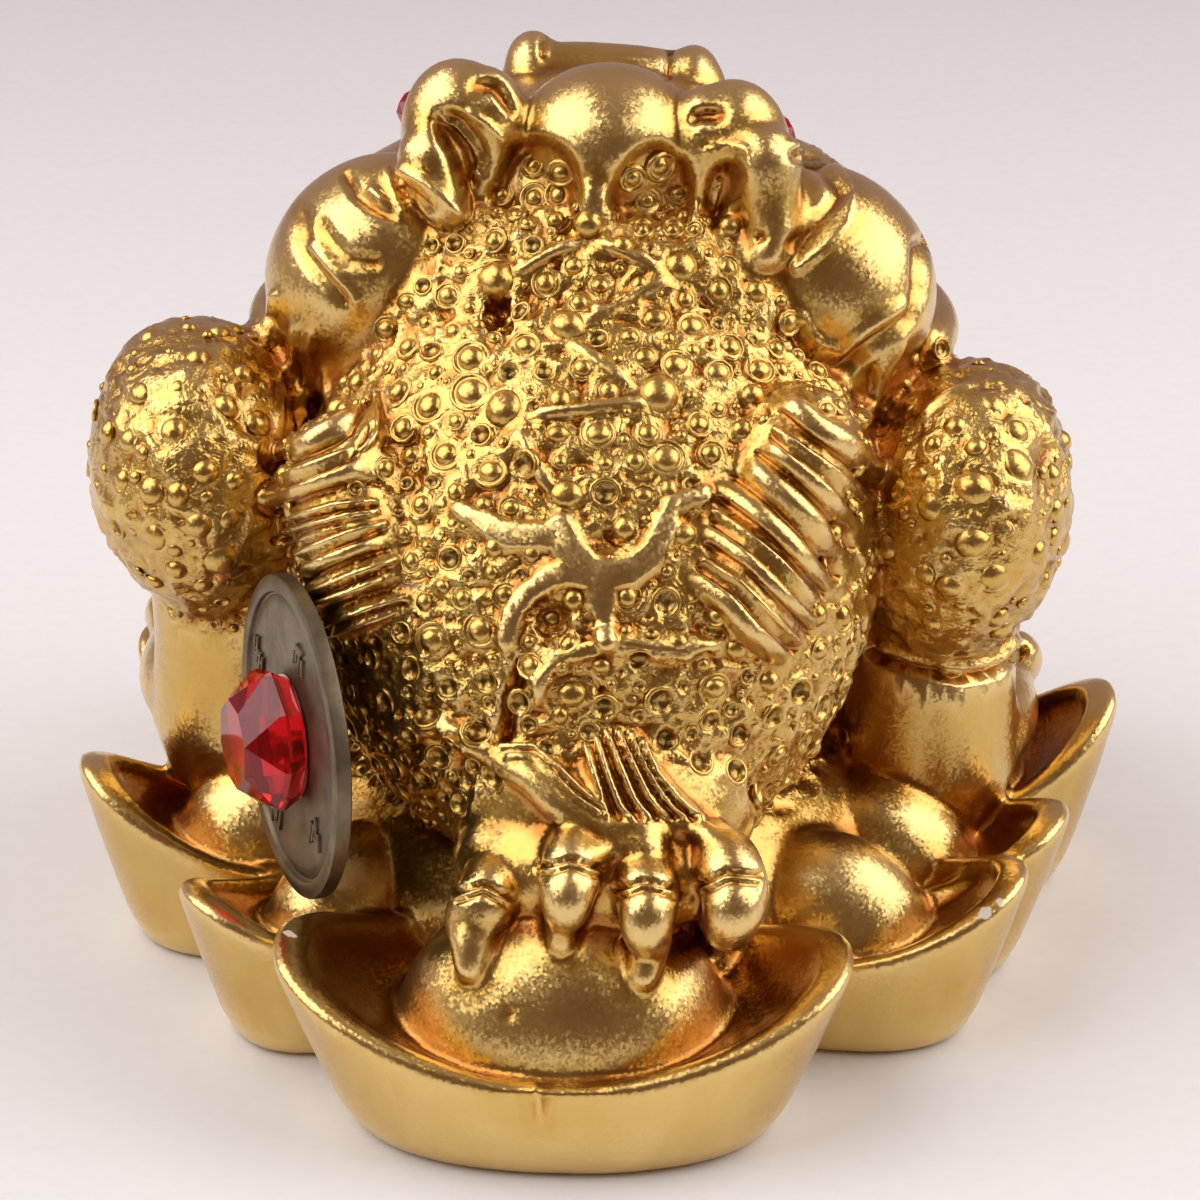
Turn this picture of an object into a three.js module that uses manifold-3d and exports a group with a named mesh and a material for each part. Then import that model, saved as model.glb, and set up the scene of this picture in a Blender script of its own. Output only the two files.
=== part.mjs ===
// Money toad: a three-legged toad cast in one with the bed of boat-shaped ingots that it sits on,
// a loose coin leaning against its left flank, a cut glass gem on the coin and a gem in each eye.
// Millimetres. +Z is up, the toad looks along +Y, and z = 0 is the flat underside of the ingots.

import * as THREE from 'three';
import { mergeVertices } from 'three/addons/utils/BufferGeometryUtils.js';
import Module from 'manifold-3d';

// Driving dimensions
const FIGURE_HEIGHT = 68;        // underside to the top of the brows
const DRAWN_HEIGHT = 68;         // the height at which the carving below is drawn
const INGOT_LENGTH = 31;         // the common ingot, tip to tip
const FRONT_INGOT_LENGTH = 41;   // the ingot under the hind foot
const INGOT_WIDTH_SHARE = 0.52;  // width of an ingot over its length
const INGOT_RIM_HEIGHT = 8;      // rim at the middle of the long side
const INGOT_TIP_RISE = 5.5;      // how much higher the rim is at a tip
const INGOT_DOME_HEIGHT = 14.5;  // top of the dome inside the rim
const INGOT_RIM_WIDTH = 1.1;     // flat top of the rim
const COIN_DIAMETER = 23.8;
const COIN_THICKNESS = 1.3;      // over the raised rim
const COIN_RIM_WIDTH = 1.5;
const COIN_RIM_RISE = 0.3;       // rim above the field, on each face
const COIN_BEVEL = 0.3;          // at the coin's edge and down from its rim
const COIN_LEAN = 2.7;           // degrees from upright, towards the toad
const GEM_WIDTH = 11.4;          // the gem on the coin, across its girdle
const GEM_HEIGHT = 4.6;          // from the gem's flat back to its table
const GLUE_THICKNESS = 0.3;      // between the coin's field and the gem's back
const EYE_GEM_WIDTH = 4.4;
const EYE_GEM_HEIGHT = 2.2;
const SEAT_GAP = 0.3;            // air between the casting and what rests or is set in it
const STACK_COINS = 8;           // coins strung in each stack on the flanks
const STACK_WIDTH = 10.4;
const STACK_GROOVE = 0.7;        // depth of the grooves between the stacked coins

const S = FIGURE_HEIGHT / DRAWN_HEIGHT;
const wasm = await Module();
wasm.setup();

// Materials
const goldPaint = new THREE.MeshStandardMaterial({ color: '#c8a23c', roughness: 0.32, metalness: 0.9 });
const agedCoin = new THREE.MeshStandardMaterial({ color: '#6b6258', roughness: 0.5, metalness: 0.8 });
const redGlass = new THREE.MeshStandardMaterial({ color: '#c3121c', roughness: 0.08, metalness: 0 });

// Helpers: a place on the figure, a turn, and a closed geometry as a solid and back
const place = ([x, y, z]) => new THREE.Vector3(x, y, z).multiplyScalar(S);

function turned(geometry, [x, y, z]) {
  const angles = [x, y, z].map(THREE.MathUtils.degToRad);
  return geometry.applyQuaternion(new THREE.Quaternion().setFromEuler(new THREE.Euler(...angles, 'XYZ')));
}

function solid(geometry) {
  geometry.deleteAttribute('normal');
  geometry.deleteAttribute('uv');
  const merged = mergeVertices(geometry, 1e-5);
  const corners = Array.from(merged.index.array);
  const triangles = [];
  for (let i = 0; i < corners.length; i += 3) {
    const [a, b, c] = corners.slice(i, i + 3);
    if (a !== b && b !== c && c !== a) triangles.push(a, b, c);
  }
  return new wasm.Manifold(new wasm.Mesh({
    numProp: 3,
    vertProperties: new Float32Array(merged.attributes.position.array),
    triVerts: new Uint32Array(triangles),
  }));
}

function geometryOf(body) {
  const mesh = body.getMesh();
  const geometry = new THREE.BufferGeometry();
  geometry.setAttribute('position', new THREE.BufferAttribute(mesh.vertProperties.slice(), 3));
  geometry.setIndex(new THREE.BufferAttribute(mesh.triVerts.slice(), 1));
  geometry.computeVertexNormals();
  return geometry;
}

const join = (bodies) => bodies.reduce((whole, body) => whole.add(body));
const cut = (body, tools) => tools.reduce((rest, tool) => rest.subtract(tool), body);

// An egg: a sphere stretched to three radii, its poles on its own z, turned and put in place
function egg(centre, radii, turn = [0, 0, 0], around = 12, rows = 8) {
  const geometry = new THREE.SphereGeometry(1, around, rows);
  geometry.rotateX(Math.PI / 2);
  geometry.scale(...radii.map((radius) => radius * S));
  turned(geometry, turn);
  geometry.translate(...place(centre).toArray());
  return solid(geometry);
}

const ball = (centre, radius, around, rows) => egg(centre, [radius, radius, radius], [0, 0, 0], around, rows);

// A roll: a round-ended bar bent along points, its radius going through the given ones
function roll(points, radii, sides = 6, steps = 3 * (points.length - 1)) {
  const curve = new THREE.CatmullRomCurve3(points.map(place), false, 'centripetal');
  const length = curve.getLength();
  const radiusAt = (t) => {
    const i = Math.min(Math.floor(t * (radii.length - 1)), radii.length - 2);
    const part = t * (radii.length - 1) - i;
    return S * (radii[i] * (1 - part) + radii[i + 1] * part);
  };
  const profile = [new THREE.Vector2(0, -S * radii[0] / length)];
  for (let i = 0; i <= steps; i += 1) profile.push(new THREE.Vector2(1, i / steps));
  profile.push(new THREE.Vector2(0, 1 + S * radii[radii.length - 1] / length));
  const geometry = new THREE.LatheGeometry(profile, sides);
  const position = geometry.attributes.position;
  const steepness = (t) => Math.abs(curve.getTangentAt(t).z);
  const nearlyUpright = [0, 0.25, 0.5, 0.75, 1].some((t) => steepness(t) > 0.9);
  const side = nearlyUpright ? new THREE.Vector3(1, 0, 0) : new THREE.Vector3(0, 0, 1);
  for (let i = 0; i < position.count; i += 1) {
    const along = position.getY(i);
    const t = THREE.MathUtils.clamp(along, 0, 1);
    const tangent = curve.getTangentAt(t);
    const across = side.clone().addScaledVector(tangent, -side.dot(tangent)).normalize();
    const up = across.clone().cross(tangent);
    const radius = radiusAt(t);
    const point = curve.getPointAt(t)
      .addScaledVector(tangent, (along - t) * length)
      .addScaledVector(across, position.getX(i) * radius)
      .addScaledVector(up, position.getZ(i) * radius);
    position.setXYZ(i, point.x, point.y, point.z);
  }
  return solid(geometry);
}

// Torso: one long egg leaning forward, its back carrying the carving
const TORSO_CENTRE = [-0.5, -1, 35];
const TORSO_RADII = [21.5, 16, 27];  // across, back to belly, along the spine
const TORSO_LEAN = 42.9;           // degrees that the spine leans forward
const leanAngle = THREE.MathUtils.degToRad(TORSO_LEAN);
const SPINE = new THREE.Vector3(0, Math.sin(leanAngle), Math.cos(leanAngle));
const OUT_OF_BACK = new THREE.Vector3(0, -Math.cos(leanAngle), Math.sin(leanAngle));

// A place on the back: mm to the toad's right, mm up the spine, mm out of the skin
function onBack([across, along], out = 0) {
  const [a, b, c] = TORSO_RADII;
  const depth = Math.sqrt(Math.max(0, 1 - (across / a) ** 2 - (along / c) ** 2));
  return new THREE.Vector3(...TORSO_CENTRE)
    .add(new THREE.Vector3(across, 0, 0))
    .addScaledVector(SPINE, along)
    .addScaledVector(OUT_OF_BACK, b * depth + out)
    .toArray();
}

function torso() {
  return join([
    egg(TORSO_CENTRE, TORSO_RADII, [-TORSO_LEAN, 0, 0], 18, 10),
    egg([-0.8, -9, 24], [16, 12.5, 12.5], [0, 0, 0], 12, 6),
    egg([-1, 12, 24], [22, 17, 21], [0, 0, 0], 12, 7),
    egg([-1.2, 3.4, 8], [23.5, 25, 13], [0, 0, 0], 14, 6),
  ]);
}

// Ingots: a boat-shaped bowl with a dome in it, turned about its middle axis
// Each row of the section: share of half-length, share of half-width, height, share of the tip's rise
function ingot({ middle, heading, length = INGOT_LENGTH, segments = 12, lift = 0 }) {
  const halfLength = length / 2;
  const halfWidth = halfLength * INGOT_WIDTH_SHARE;
  const inner = 1 - INGOT_RIM_WIDTH / halfWidth;
  const rim = INGOT_RIM_HEIGHT;
  const section = [
    [0, 0, 0, 0],
    [0.72, 0.84, 0, 0],
    [0.84, 0.97, rim * 0.45, 0.2],
    [1, 1, rim * 0.95, 1],
    [0.975, 0.955, rim, 1],
    [inner, inner, rim * 0.9, 0.95],
    [0.61, 0.81, rim * 0.72, 0],
    [0.56, 0.75, INGOT_DOME_HEIGHT * 0.72, 0],
    [0.36, 0.48, INGOT_DOME_HEIGHT * 0.94, 0],
    [0, 0, INGOT_DOME_HEIGHT, 0],
  ];
  const geometry = new THREE.LatheGeometry(section.map(([r], i) => new THREE.Vector2(r, i)), segments);
  const position = geometry.attributes.position;
  for (let i = 0; i < position.count; i += 1) {
    const [shareLong, shareWide, height, rise] = section[i % section.length];
    const angle = (Math.floor(i / section.length) / segments) * 2 * Math.PI;
    const towardsTip = Math.abs(Math.cos(angle)) ** 1.6;
    position.setXYZ(i, shareLong * halfLength * Math.cos(angle), shareWide * halfWidth * Math.sin(angle),
      height + rise * (INGOT_TIP_RISE + lift) * towardsTip);
  }
  turned(geometry, [0, 0, heading]);
  geometry.translate(middle[0] * S, middle[1] * S, 0);
  return solid(geometry);
}

const INGOTS = [
  { middle: [-0.6, -26.3], heading: 0, length: FRONT_INGOT_LENGTH, segments: 18 },
  { middle: [-17.2, -12.4], heading: 35, length: 0.94 * INGOT_LENGTH },
  { middle: [-24.7, 0], heading: 17, lift: 1.8 },
  { middle: [-23, 17], heading: -10, lift: 1, segments: 8 },
  { middle: [17.2, -11.2], heading: -11 },
  { middle: [20.6, -1.6], heading: -14 },
  { middle: [24.6, 10], heading: 6, lift: 2 },
  { middle: [17, 24], heading: 30, segments: 8 },
  { middle: [-15, 27], heading: -28, segments: 8 },
  { middle: [1, 29.5], heading: 0, segments: 10 },
];

// Stacks of coins on the flanks: discs seen on edge, from the top of the stack to its foot
const STACKS = [
  { top: [-18.4, -6.8, 44.2], foot: [-15.6, -13.6, 33.2] },
  { top: [15.6, -5.8, 46.4], foot: [10.2, -15.6, 33.4] },
];

function coinStack({ top, foot }) {
  const from = place(top);
  const to = place(foot);
  const step = from.distanceTo(to) / STACK_COINS;
  const radius = STACK_WIDTH / 2;
  const groove = radius - STACK_GROOVE;
  const profile = [new THREE.Vector2(0, 0)];
  for (let i = 0; i < STACK_COINS; i += 1) {
    profile.push(new THREE.Vector2(groove, i * step));
    profile.push(new THREE.Vector2(radius, (i + 0.5) * step));
  }
  profile.push(new THREE.Vector2(groove, STACK_COINS * step));
  profile.push(new THREE.Vector2(0, STACK_COINS * step));
  const geometry = new THREE.LatheGeometry(profile, 8);
  const downwards = to.clone().sub(from).normalize();
  geometry.applyQuaternion(new THREE.Quaternion().setFromUnitVectors(new THREE.Vector3(0, 1, 0), downwards));
  geometry.translate(...from.toArray());
  return solid(geometry);
}

// Front legs, each with its warty shoulder, its shank and a foot with three toes on the ingots
const FRONT_LEGS = [
  { side: -1, shoulder: [-29.9, 4, 36.5], radii: [8.7, 11.5, 11.4] },
  { side: 1, shoulder: [26.9, 4, 34.4], radii: [8.2, 11.5, 11.4] },
];

function frontLeg({ side, shoulder: [x, y, z], radii }) {
  const bodies = [
    egg([x, y, z], radii, [0, side * 11, 0], 12, 7),
    roll([[x - side * 2.4, y + 2, z - 6], [x - side * 3.4, y + 1, z - 22]], [7.6, 7.2], 8, 1),
    egg([x - side * 0.6, y + 7, z - 20.5], [7.6, 11, 4.5], [0, 0, 0], 8, 5),
  ];
  for (const [spread, reach] of [[5, 13], [0, 18.5], [-5.5, 17]]) {
    const toe = [x + side * spread, y + reach, z - 19.5];
    const claw = [toe[0] + side * 0.6, toe[1] + 6, toe[2] - 4];
    bodies.push(roll([[toe[0], toe[1] - 2, toe[2]], toe, claw], [2, 2.6, 0.5], 5, 2));
  }
  return bodies;
}

// Head: broad jowls, a lower lip all round the mouth, brows, forehead plate and snout bar
const HEAD_CENTRE = [-0.5, 13, 46];
const HEAD_RADII = [25.4, 18, 16];
const LIP_HEIGHT = 45.1;

function mouthArc(height, reach, fromAngle = -12, toAngle = 192, steps = 10) {
  const share = Math.sqrt(1 - ((height - HEAD_CENTRE[2]) / HEAD_RADII[2]) ** 2);
  const points = [];
  for (let i = 0; i <= steps; i += 1) {
    const angle = THREE.MathUtils.degToRad(fromAngle + (i / steps) * (toAngle - fromAngle));
    points.push([
      HEAD_CENTRE[0] + (HEAD_RADII[0] * share + reach) * Math.cos(angle),
      HEAD_CENTRE[1] + (HEAD_RADII[1] * share + reach) * Math.sin(angle),
      height + 1.5 * Math.sin(angle) ** 2,
    ]);
  }
  return points;
}

const BROWS = [
  { side: -1, middle: [-10.2, 7.5, 61.6] },
  { side: 1, middle: [8.8, 7.5, 60.4] },
];

function brow({ side, middle: [x, y, z] }) {
  return [
    egg([x, y, z], [4.6, 4.4, 6.5], [0, side * 10, 0], 9, 6),
    egg([x + side * 1.6, y - 1.5, z - 5.2], [2.8, 4, 5.6], [0, 0, 0], 7, 4),
    egg([x + side * 1.0, y + 4.8, z - 1.4], [3.8, 4.2, 4.0], [0, 0, 0], 7, 5),
  ];
}

function browHollows({ side, middle: [x, y, z] }) {
  return [
    egg([x - side * 2.2, y - 4.2, z + 2.6], [1.3, 1.8, 1.9], [0, -side * 12, 0], 6, 4),
    egg([x + side * 0.6, y - 4.8, z - 1.4], [1.6, 2.1, 3.8], [0, side * -12, 0], 6, 5),
  ];
}

function head() {
  const bodies = [
    egg(HEAD_CENTRE, HEAD_RADII, [0, 0, 0], 14, 8),
    egg([-1, 15, 57.5], [13.5, 13, 6.5], [-6, 0, 0], 10, 5),
    roll(mouthArc(LIP_HEIGHT, 0.1), [1.9, 2.2, 1.9], 6, 10),
    egg([0.2, 8.2, 61.6], [6.6, 6.4, 5.8], [0, 0, 0], 10, 6),
    egg([-0.6, 4.5, 58.6], [2.3, 4, 4], [0, 0, 0], 8, 5),
    roll([[-6.0, 22, 62.8], [0, 22.4, 62.6], [6, 22, 62.1]], [2.4, 2.2, 2.4], 7, 2),
    egg([-6.4, 22, 62.4], [2.6, 3.2, 2.9], [0, 0, 0], 6, 5),
    egg([6.2, 22, 61.3], [2.6, 3.2, 2.9], [0, 0, 0], 6, 5),
    egg([-17.6, 8, 51.8], [7.2, 8, 8.8], [0, 40, 0], 9, 6),
    egg([16.8, 8, 51.6], [7.2, 8, 8.8], [0, -38, 0], 9, 6),
    ...BROWS.flatMap(brow),
  ];
  const cuts = [
    egg([-4.4, 0.6, 59.6], [3.0, 3.4, 4], [0, 0, 0], 8, 5),
    egg([3.9, 0.6, 59.2], [3.0, 3.4, 4], [0, 0, 0], 8, 5),
    ...BROWS.flatMap(browHollows),
  ];
  return cut(join(bodies), cuts);
}

// Carving on the back: seven knobs joined by ridges, and a smooth web below them
const STARS = {
  A: [-0.6, 19.3], B: [6.6, 15.8], C: [-1.6, 10.4], D: [5.2, 5.1],
  E: [-5.7, 3.9], F: [-1.1, -2.4], G: [-7.1, 14.1],
};
const STAR_LINKS = ['GA', 'AB', 'BC', 'CD', 'DE', 'EF'];
const KNOB_RADIUS = 1.5;
const LINK_RADIUS = 0.75;
const WEB = [
  [[-8.2, -3.3], [-5.8, -5.0], [-1.9, -4.6], [-0.9, -7.2]],
  [[-1.0, -4.7], [-0.2, -6.6], [2.1, -7.6], [4.6, -6.4], [5.8, -3.4], [8.4, -2.3]],
  [[2.6, -8.0], [-0.9, -8.4], [-4.4, -10.6], [-4.8, -12.4]],
  [[0.7, -8.2], [1.5, -10.9], [2.7, -12.3]],
];
const HIP_RIDGE = [[-3.1, -17.6], [-2.4, -15.4], [0.4, -13.9], [3.4, -13.4], [6.6, -13.4], [10, -12.9]];

function backCarving() {
  const knobs = Object.values(STARS).map((spot) => ball(onBack(spot, 0.6), KNOB_RADIUS, 6, 4));
  const links = STAR_LINKS.map(([a, b]) => {
    const ends = [onBack(STARS[a], 0.2), onBack(STARS[b], 0.2)];
    return roll(ends, [LINK_RADIUS, LINK_RADIUS], 5, 1);
  });
  const web = WEB.map((route) => {
    const points = route.map((spot) => onBack(spot, -0.4));
    return roll(points, [1.1, 1.5, 1.1], 4, 2 * (route.length - 1));
  });
  const ridge = roll(HIP_RIDGE.map((spot) => onBack(spot, 0.8)), [1.5, 1.5, 1.3], 6, 8);
  return [...knobs, ...links, ...web, ridge];
}

// Large warts in rows on the back, flanks and shoulders
const WART_RADIUS = 1.15;

function backWarts() {
  const bodies = [];
  for (const [along, spread, count] of [[8.5, 14.5, 3], [1, 12.5, 2], [-7.5, 11.5, 1], [-14.5, 11, 1]]) {
    for (const side of [-1, 1]) {
      for (let i = 0; i < count; i += 1) {
        const across = side * (spread - 3.1 * i);
        bodies.push(ball(onBack([across, along + (i % 2) * 2.6], 0.15), WART_RADIUS, 5, 3));
      }
    }
  }
  return bodies;
}

// Hind leg: the foot comes out under the rump and grips the front ingot with four toes
const TOES = [
  [[-7.6, -25.2, 20.9], [-7.4, -28.6, 18.4], [-8.6, -31.4, 13.4]],
  [[-1.3, -26.6, 21.6], [-1.3, -30.0, 19.4], [-2.0, -32.8, 14.7]],
  [[4.4, -26.6, 21.1], [4.7, -30.0, 18.6], [4.2, -32.4, 13.2]],
  [[10.4, -25.2, 21.1], [10.9, -28.6, 18.8], [9.8, -31.4, 13.4]],
];
const TOE_RADII = [2.7, 2.2, 2.5, 1.7, 0.6];

function hindLeg() {
  const bodies = [
    egg([1, -18, 21], [11.5, 8, 8.5], [0, 0, 0], 10, 6),
    egg([1.2, -23.5, 18], [11, 6.5, 5.5], [14, 0, 0], 10, 5),
    roll([[-14, -17.4, 26], [-9, -20.6, 26.2], [-5.2, -22.6, 24.8], [-2.2, -24.6, 23.4],
      [1.6, -26.4, 21.8], [5.4, -27, 22]], [1, 1.3, 1.9, 1.9, 1.6, 1.8], 6, 8),
  ];
  for (let i = 0; i < 4; i += 1) {
    const start = [1.6 + i * 1.3, -22.3 + i * 0.25, 28.6 - i * 0.4];
    bodies.push(roll([start, [start[0] + 1.6, -25, 25], [start[0] + 3.6, -26.2, 22]], [0.8, 0.8, 0.7], 4, 2));
  }
  for (const toe of TOES) bodies.push(roll(toe, TOE_RADII, 6, 5));
  return bodies;
}

// The coin stands on the left front ingot and leans on the flank; its face looks out to the left
const COIN_FOOT = [-21.8, -16.4, 12.7];
const COIN_FACING = 23.3;  // degrees that its face is turned back from the toad's left
const facing = THREE.MathUtils.degToRad(COIN_FACING);
const lean = THREE.MathUtils.degToRad(COIN_LEAN);
const COIN_OUT = new THREE.Vector3(-Math.cos(facing) * Math.cos(lean), -Math.sin(facing) * Math.cos(lean),
  Math.sin(lean));
const COIN_UP = new THREE.Vector3(0, 0, 1).addScaledVector(COIN_OUT, -Math.sin(lean)).normalize();
const COIN_CENTRE = place(COIN_FOOT).addScaledVector(COIN_UP, COIN_DIAMETER / 2);

// Turns a shape lying on its back face up, so that its own z looks out and its own y is up
function standUp(geometry, out, up, centre) {
  const across = up.clone().cross(out);
  geometry.applyMatrix4(new THREE.Matrix4().makeBasis(across, up, out).setPosition(centre));
  return geometry;
}

function coinShape() {
  const radius = COIN_DIAMETER / 2;
  const half = COIN_THICKNESS / 2;
  const field = half - COIN_RIM_RISE;
  const rimInside = radius - COIN_RIM_WIDTH;
  const face = [
    [radius, half - COIN_BEVEL], [radius - COIN_BEVEL, half],
    [rimInside, half], [rimInside - COIN_BEVEL, field], [0, field],
  ];
  const back = face.map(([r, out]) => [r, -out]).reverse();
  const profile = [...back, ...face].map((point) => new THREE.Vector2(...point));
  const geometry = new THREE.LatheGeometry(profile, 28);
  geometry.rotateX(Math.PI / 2);
  return standUp(geometry, COIN_OUT, COIN_UP, COIN_CENTRE);
}

// The room that the casting leaves for the coin: a plain disc, SEAT_GAP larger all round
function coinSeat() {
  const radius = COIN_DIAMETER / 2 + SEAT_GAP;
  const geometry = new THREE.CylinderGeometry(radius, radius, COIN_THICKNESS + 2 * SEAT_GAP, 28);
  geometry.rotateX(Math.PI / 2);
  return solid(standUp(geometry, COIN_OUT, COIN_UP, COIN_CENTRE));
}

// A cut gem: rings of corners from the flat back over the girdle to the table
function gemShape(width, height, sides, back, foot) {
  const radius = width / 2;
  const profile = [
    [0, 0], [radius * back, 0], [radius, height * 0.32], [radius * 0.97, height * 0.42],
    [radius * 0.55, height], [0, height],
  ].map((point) => new THREE.Vector2(...point));
  const geometry = new THREE.LatheGeometry(profile, sides);
  geometry.rotateX(Math.PI / 2);
  geometry.translate(0, 0, foot);
  return geometry;
}

const coinGem = () => standUp(
  gemShape(GEM_WIDTH, GEM_HEIGHT, 8, 0.86, COIN_THICKNESS / 2 - COIN_RIM_RISE + GLUE_THICKNESS),
  COIN_OUT, COIN_UP, COIN_CENTRE,
);

// Eye gems sit in round seats in the sides of the brows, looking outwards and forwards
const EYES = [
  { side: -1, name: 'left_eye_gem', seat: [-13.9, 13.4, 61.6] },
  { side: 1, name: 'right_eye_gem', seat: [11.9, 13.8, 60.0] },
];

function eyeAxes({ side }) {
  const out = new THREE.Vector3(side * 0.86, 0.42, 0.28).normalize();
  const up = new THREE.Vector3(0, 0, 1).addScaledVector(out, -out.z).normalize();
  return { out, up };
}

function eyeGem(eye) {
  const { out, up } = eyeAxes(eye);
  return standUp(gemShape(EYE_GEM_WIDTH, EYE_GEM_HEIGHT, 8, 0.8, 0), out, up, place(eye.seat));
}

function eyeSeat(eye) {
  const { out, up } = eyeAxes(eye);
  const geometry = new THREE.CylinderGeometry(EYE_GEM_WIDTH / 2 + SEAT_GAP, EYE_GEM_WIDTH / 2 + SEAT_GAP,
    EYE_GEM_HEIGHT * 2, 12);
  geometry.rotateX(Math.PI / 2);
  geometry.translate(0, 0, EYE_GEM_HEIGHT - SEAT_GAP);
  return solid(standUp(geometry, out, up, place(eye.seat)));
}

// The casting: everything above joined, seats cut, and the underside trimmed flat
function casting() {
  const figure = join([
    torso(),
    head(),
    ...FRONT_LEGS.flatMap(frontLeg),
    ...STACKS.map(coinStack),
    ...backCarving(),
    ...backWarts(),
    ...hindLeg(),
    ...INGOTS.map(ingot),
  ]);
  const below = new THREE.BoxGeometry(4 * FIGURE_HEIGHT, 4 * FIGURE_HEIGHT, FIGURE_HEIGHT);
  below.translate(0, 0, -FIGURE_HEIGHT / 2);
  return cut(figure, [coinSeat(), ...EYES.map(eyeSeat), solid(below)]);
}

// The object
function part(name, geometry, material) {
  const mesh = new THREE.Mesh(geometry, material);
  mesh.name = name;
  return mesh;
}

const toad = new THREE.Group();
toad.add(part('toad_casting', geometryOf(casting()), goldPaint));
toad.add(part('coin', geometryOf(solid(coinShape())), agedCoin));
toad.add(part('coin_gem', geometryOf(solid(coinGem())), redGlass));
for (const eye of EYES) toad.add(part(eye.name, geometryOf(solid(eyeGem(eye))), redGlass));

export default toad;
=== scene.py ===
# %% [markdown]
# # A gilded money toad, seen from behind
#
# The real object is a resin casting about as big as a fist. A toad sits on a bed of boat-shaped
# ingots, all in one pour, sprayed with a metallic gold paint. A loose brass coin with a glued red
# gem leans on its left side.
#
# The measured solids come in first as a fixed frame. Each of them is then dressed with a finer mesh
# of the same form, in the same place. Lengths in this file are millimetres, and a finished piece is
# brought to metres.

# %% The measured frame
import math

import bmesh
import bpy
import numpy as np
from mathutils import Matrix, Vector
from mathutils.bvhtree import BVHTree
from mathutils.kdtree import KDTree


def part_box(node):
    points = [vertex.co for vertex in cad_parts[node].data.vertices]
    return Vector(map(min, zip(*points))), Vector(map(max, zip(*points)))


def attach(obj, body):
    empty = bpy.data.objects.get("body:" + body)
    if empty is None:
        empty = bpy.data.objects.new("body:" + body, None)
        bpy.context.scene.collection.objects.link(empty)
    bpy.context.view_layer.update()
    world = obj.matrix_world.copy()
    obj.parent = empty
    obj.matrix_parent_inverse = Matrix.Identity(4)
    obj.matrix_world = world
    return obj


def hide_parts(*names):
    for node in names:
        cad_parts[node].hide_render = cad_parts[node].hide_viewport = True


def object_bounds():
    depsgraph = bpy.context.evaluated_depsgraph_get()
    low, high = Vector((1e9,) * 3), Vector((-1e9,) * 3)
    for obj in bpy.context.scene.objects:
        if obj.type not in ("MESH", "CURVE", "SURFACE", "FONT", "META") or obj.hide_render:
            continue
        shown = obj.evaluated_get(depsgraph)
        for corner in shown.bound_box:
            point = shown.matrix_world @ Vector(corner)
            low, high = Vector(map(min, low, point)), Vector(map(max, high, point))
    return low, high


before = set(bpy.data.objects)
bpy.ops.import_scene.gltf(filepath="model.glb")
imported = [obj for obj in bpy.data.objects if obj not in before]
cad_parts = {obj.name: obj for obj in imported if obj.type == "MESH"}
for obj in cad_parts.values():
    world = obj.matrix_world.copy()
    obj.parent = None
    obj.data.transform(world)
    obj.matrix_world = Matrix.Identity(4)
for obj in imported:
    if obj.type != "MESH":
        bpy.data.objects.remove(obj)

MM = 0.001
cad_low, cad_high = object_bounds()
print("CAD box in mm:", [round(v / MM, 1) for v in (*cad_low, *cad_high)])

# %% [markdown]
# ## The camera
#
# The photograph was taken with a long lens from behind the toad and a little above it. A long lens
# flattens the depth, so the camera stands far back. The lens is worked out from how many pixels one
# radian takes in the photograph, because then the render and the photograph can be laid over each
# other.

# %% The camera
PHOTO_WIDTH = 1200        # pixels, and the photograph is square
FOCAL_PIXELS = 4520
CAMERA_AZIMUTH = math.radians(3)
CAMERA_ELEVATION = math.radians(27)
CAMERA_DISTANCE = 340
AIM = Vector((0, 0, 28))  # the middle of the photograph looks at this point
SENSOR_WIDTH = 36
MM_PER_PIXEL = CAMERA_DISTANCE / FOCAL_PIXELS

backwards = Vector((
    math.sin(CAMERA_AZIMUTH) * math.cos(CAMERA_ELEVATION),
    -math.cos(CAMERA_AZIMUTH) * math.cos(CAMERA_ELEVATION),
    math.sin(CAMERA_ELEVATION),
))
eye = AIM + backwards * CAMERA_DISTANCE
bpy.ops.object.camera_add(location=eye * MM, rotation=backwards.to_track_quat("Z", "Y").to_euler())
camera = bpy.context.object
camera.name = "photo_camera"
camera.data.sensor_width = SENSOR_WIDTH
camera.data.lens = SENSOR_WIDTH * FOCAL_PIXELS / PHOTO_WIDTH
camera.data.clip_start = 0.01
bpy.context.scene.camera = camera
rightwards = Vector((0, 0, 1)).cross(backwards).normalized()
upwards = backwards.cross(rightwards)
print("lens", round(camera.data.lens, 1), "mm, camera", round(CAMERA_DISTANCE), "mm from the aim")


def sight(pixel):
    """The direction from the camera through a pixel of the photograph."""
    across = (pixel[0] - PHOTO_WIDTH / 2) / FOCAL_PIXELS
    down = (pixel[1] - PHOTO_WIDTH / 2) / FOCAL_PIXELS
    return (rightwards * across - upwards * down - backwards).normalized()


def spot(pixel, y):
    """The place behind a pixel of the photograph at the given depth y, in mm."""
    ray = sight(pixel)
    return eye + ray * ((y - eye.y) / ray.y)


# %% [markdown]
# ## Helpers for modelling
#
# Blender's operators act on whatever is selected, so each helper first selects only what it works
# on. An egg is a stretched ball, and a roll is a round bar bent along a few points. Nearly the
# whole toad is made of these two.

# %% Helpers for modelling
def only(*objects):
    """Selects these objects and nothing else."""
    bpy.ops.object.select_all(action="DESELECT")
    for item in objects:
        item.select_set(True)
    bpy.context.view_layer.objects.active = objects[0]


def settle(item):
    """Puts an object's place, turn and scale into its mesh."""
    only(item)
    bpy.ops.object.transform_apply(location=True, rotation=True, scale=True)
    return item


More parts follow.
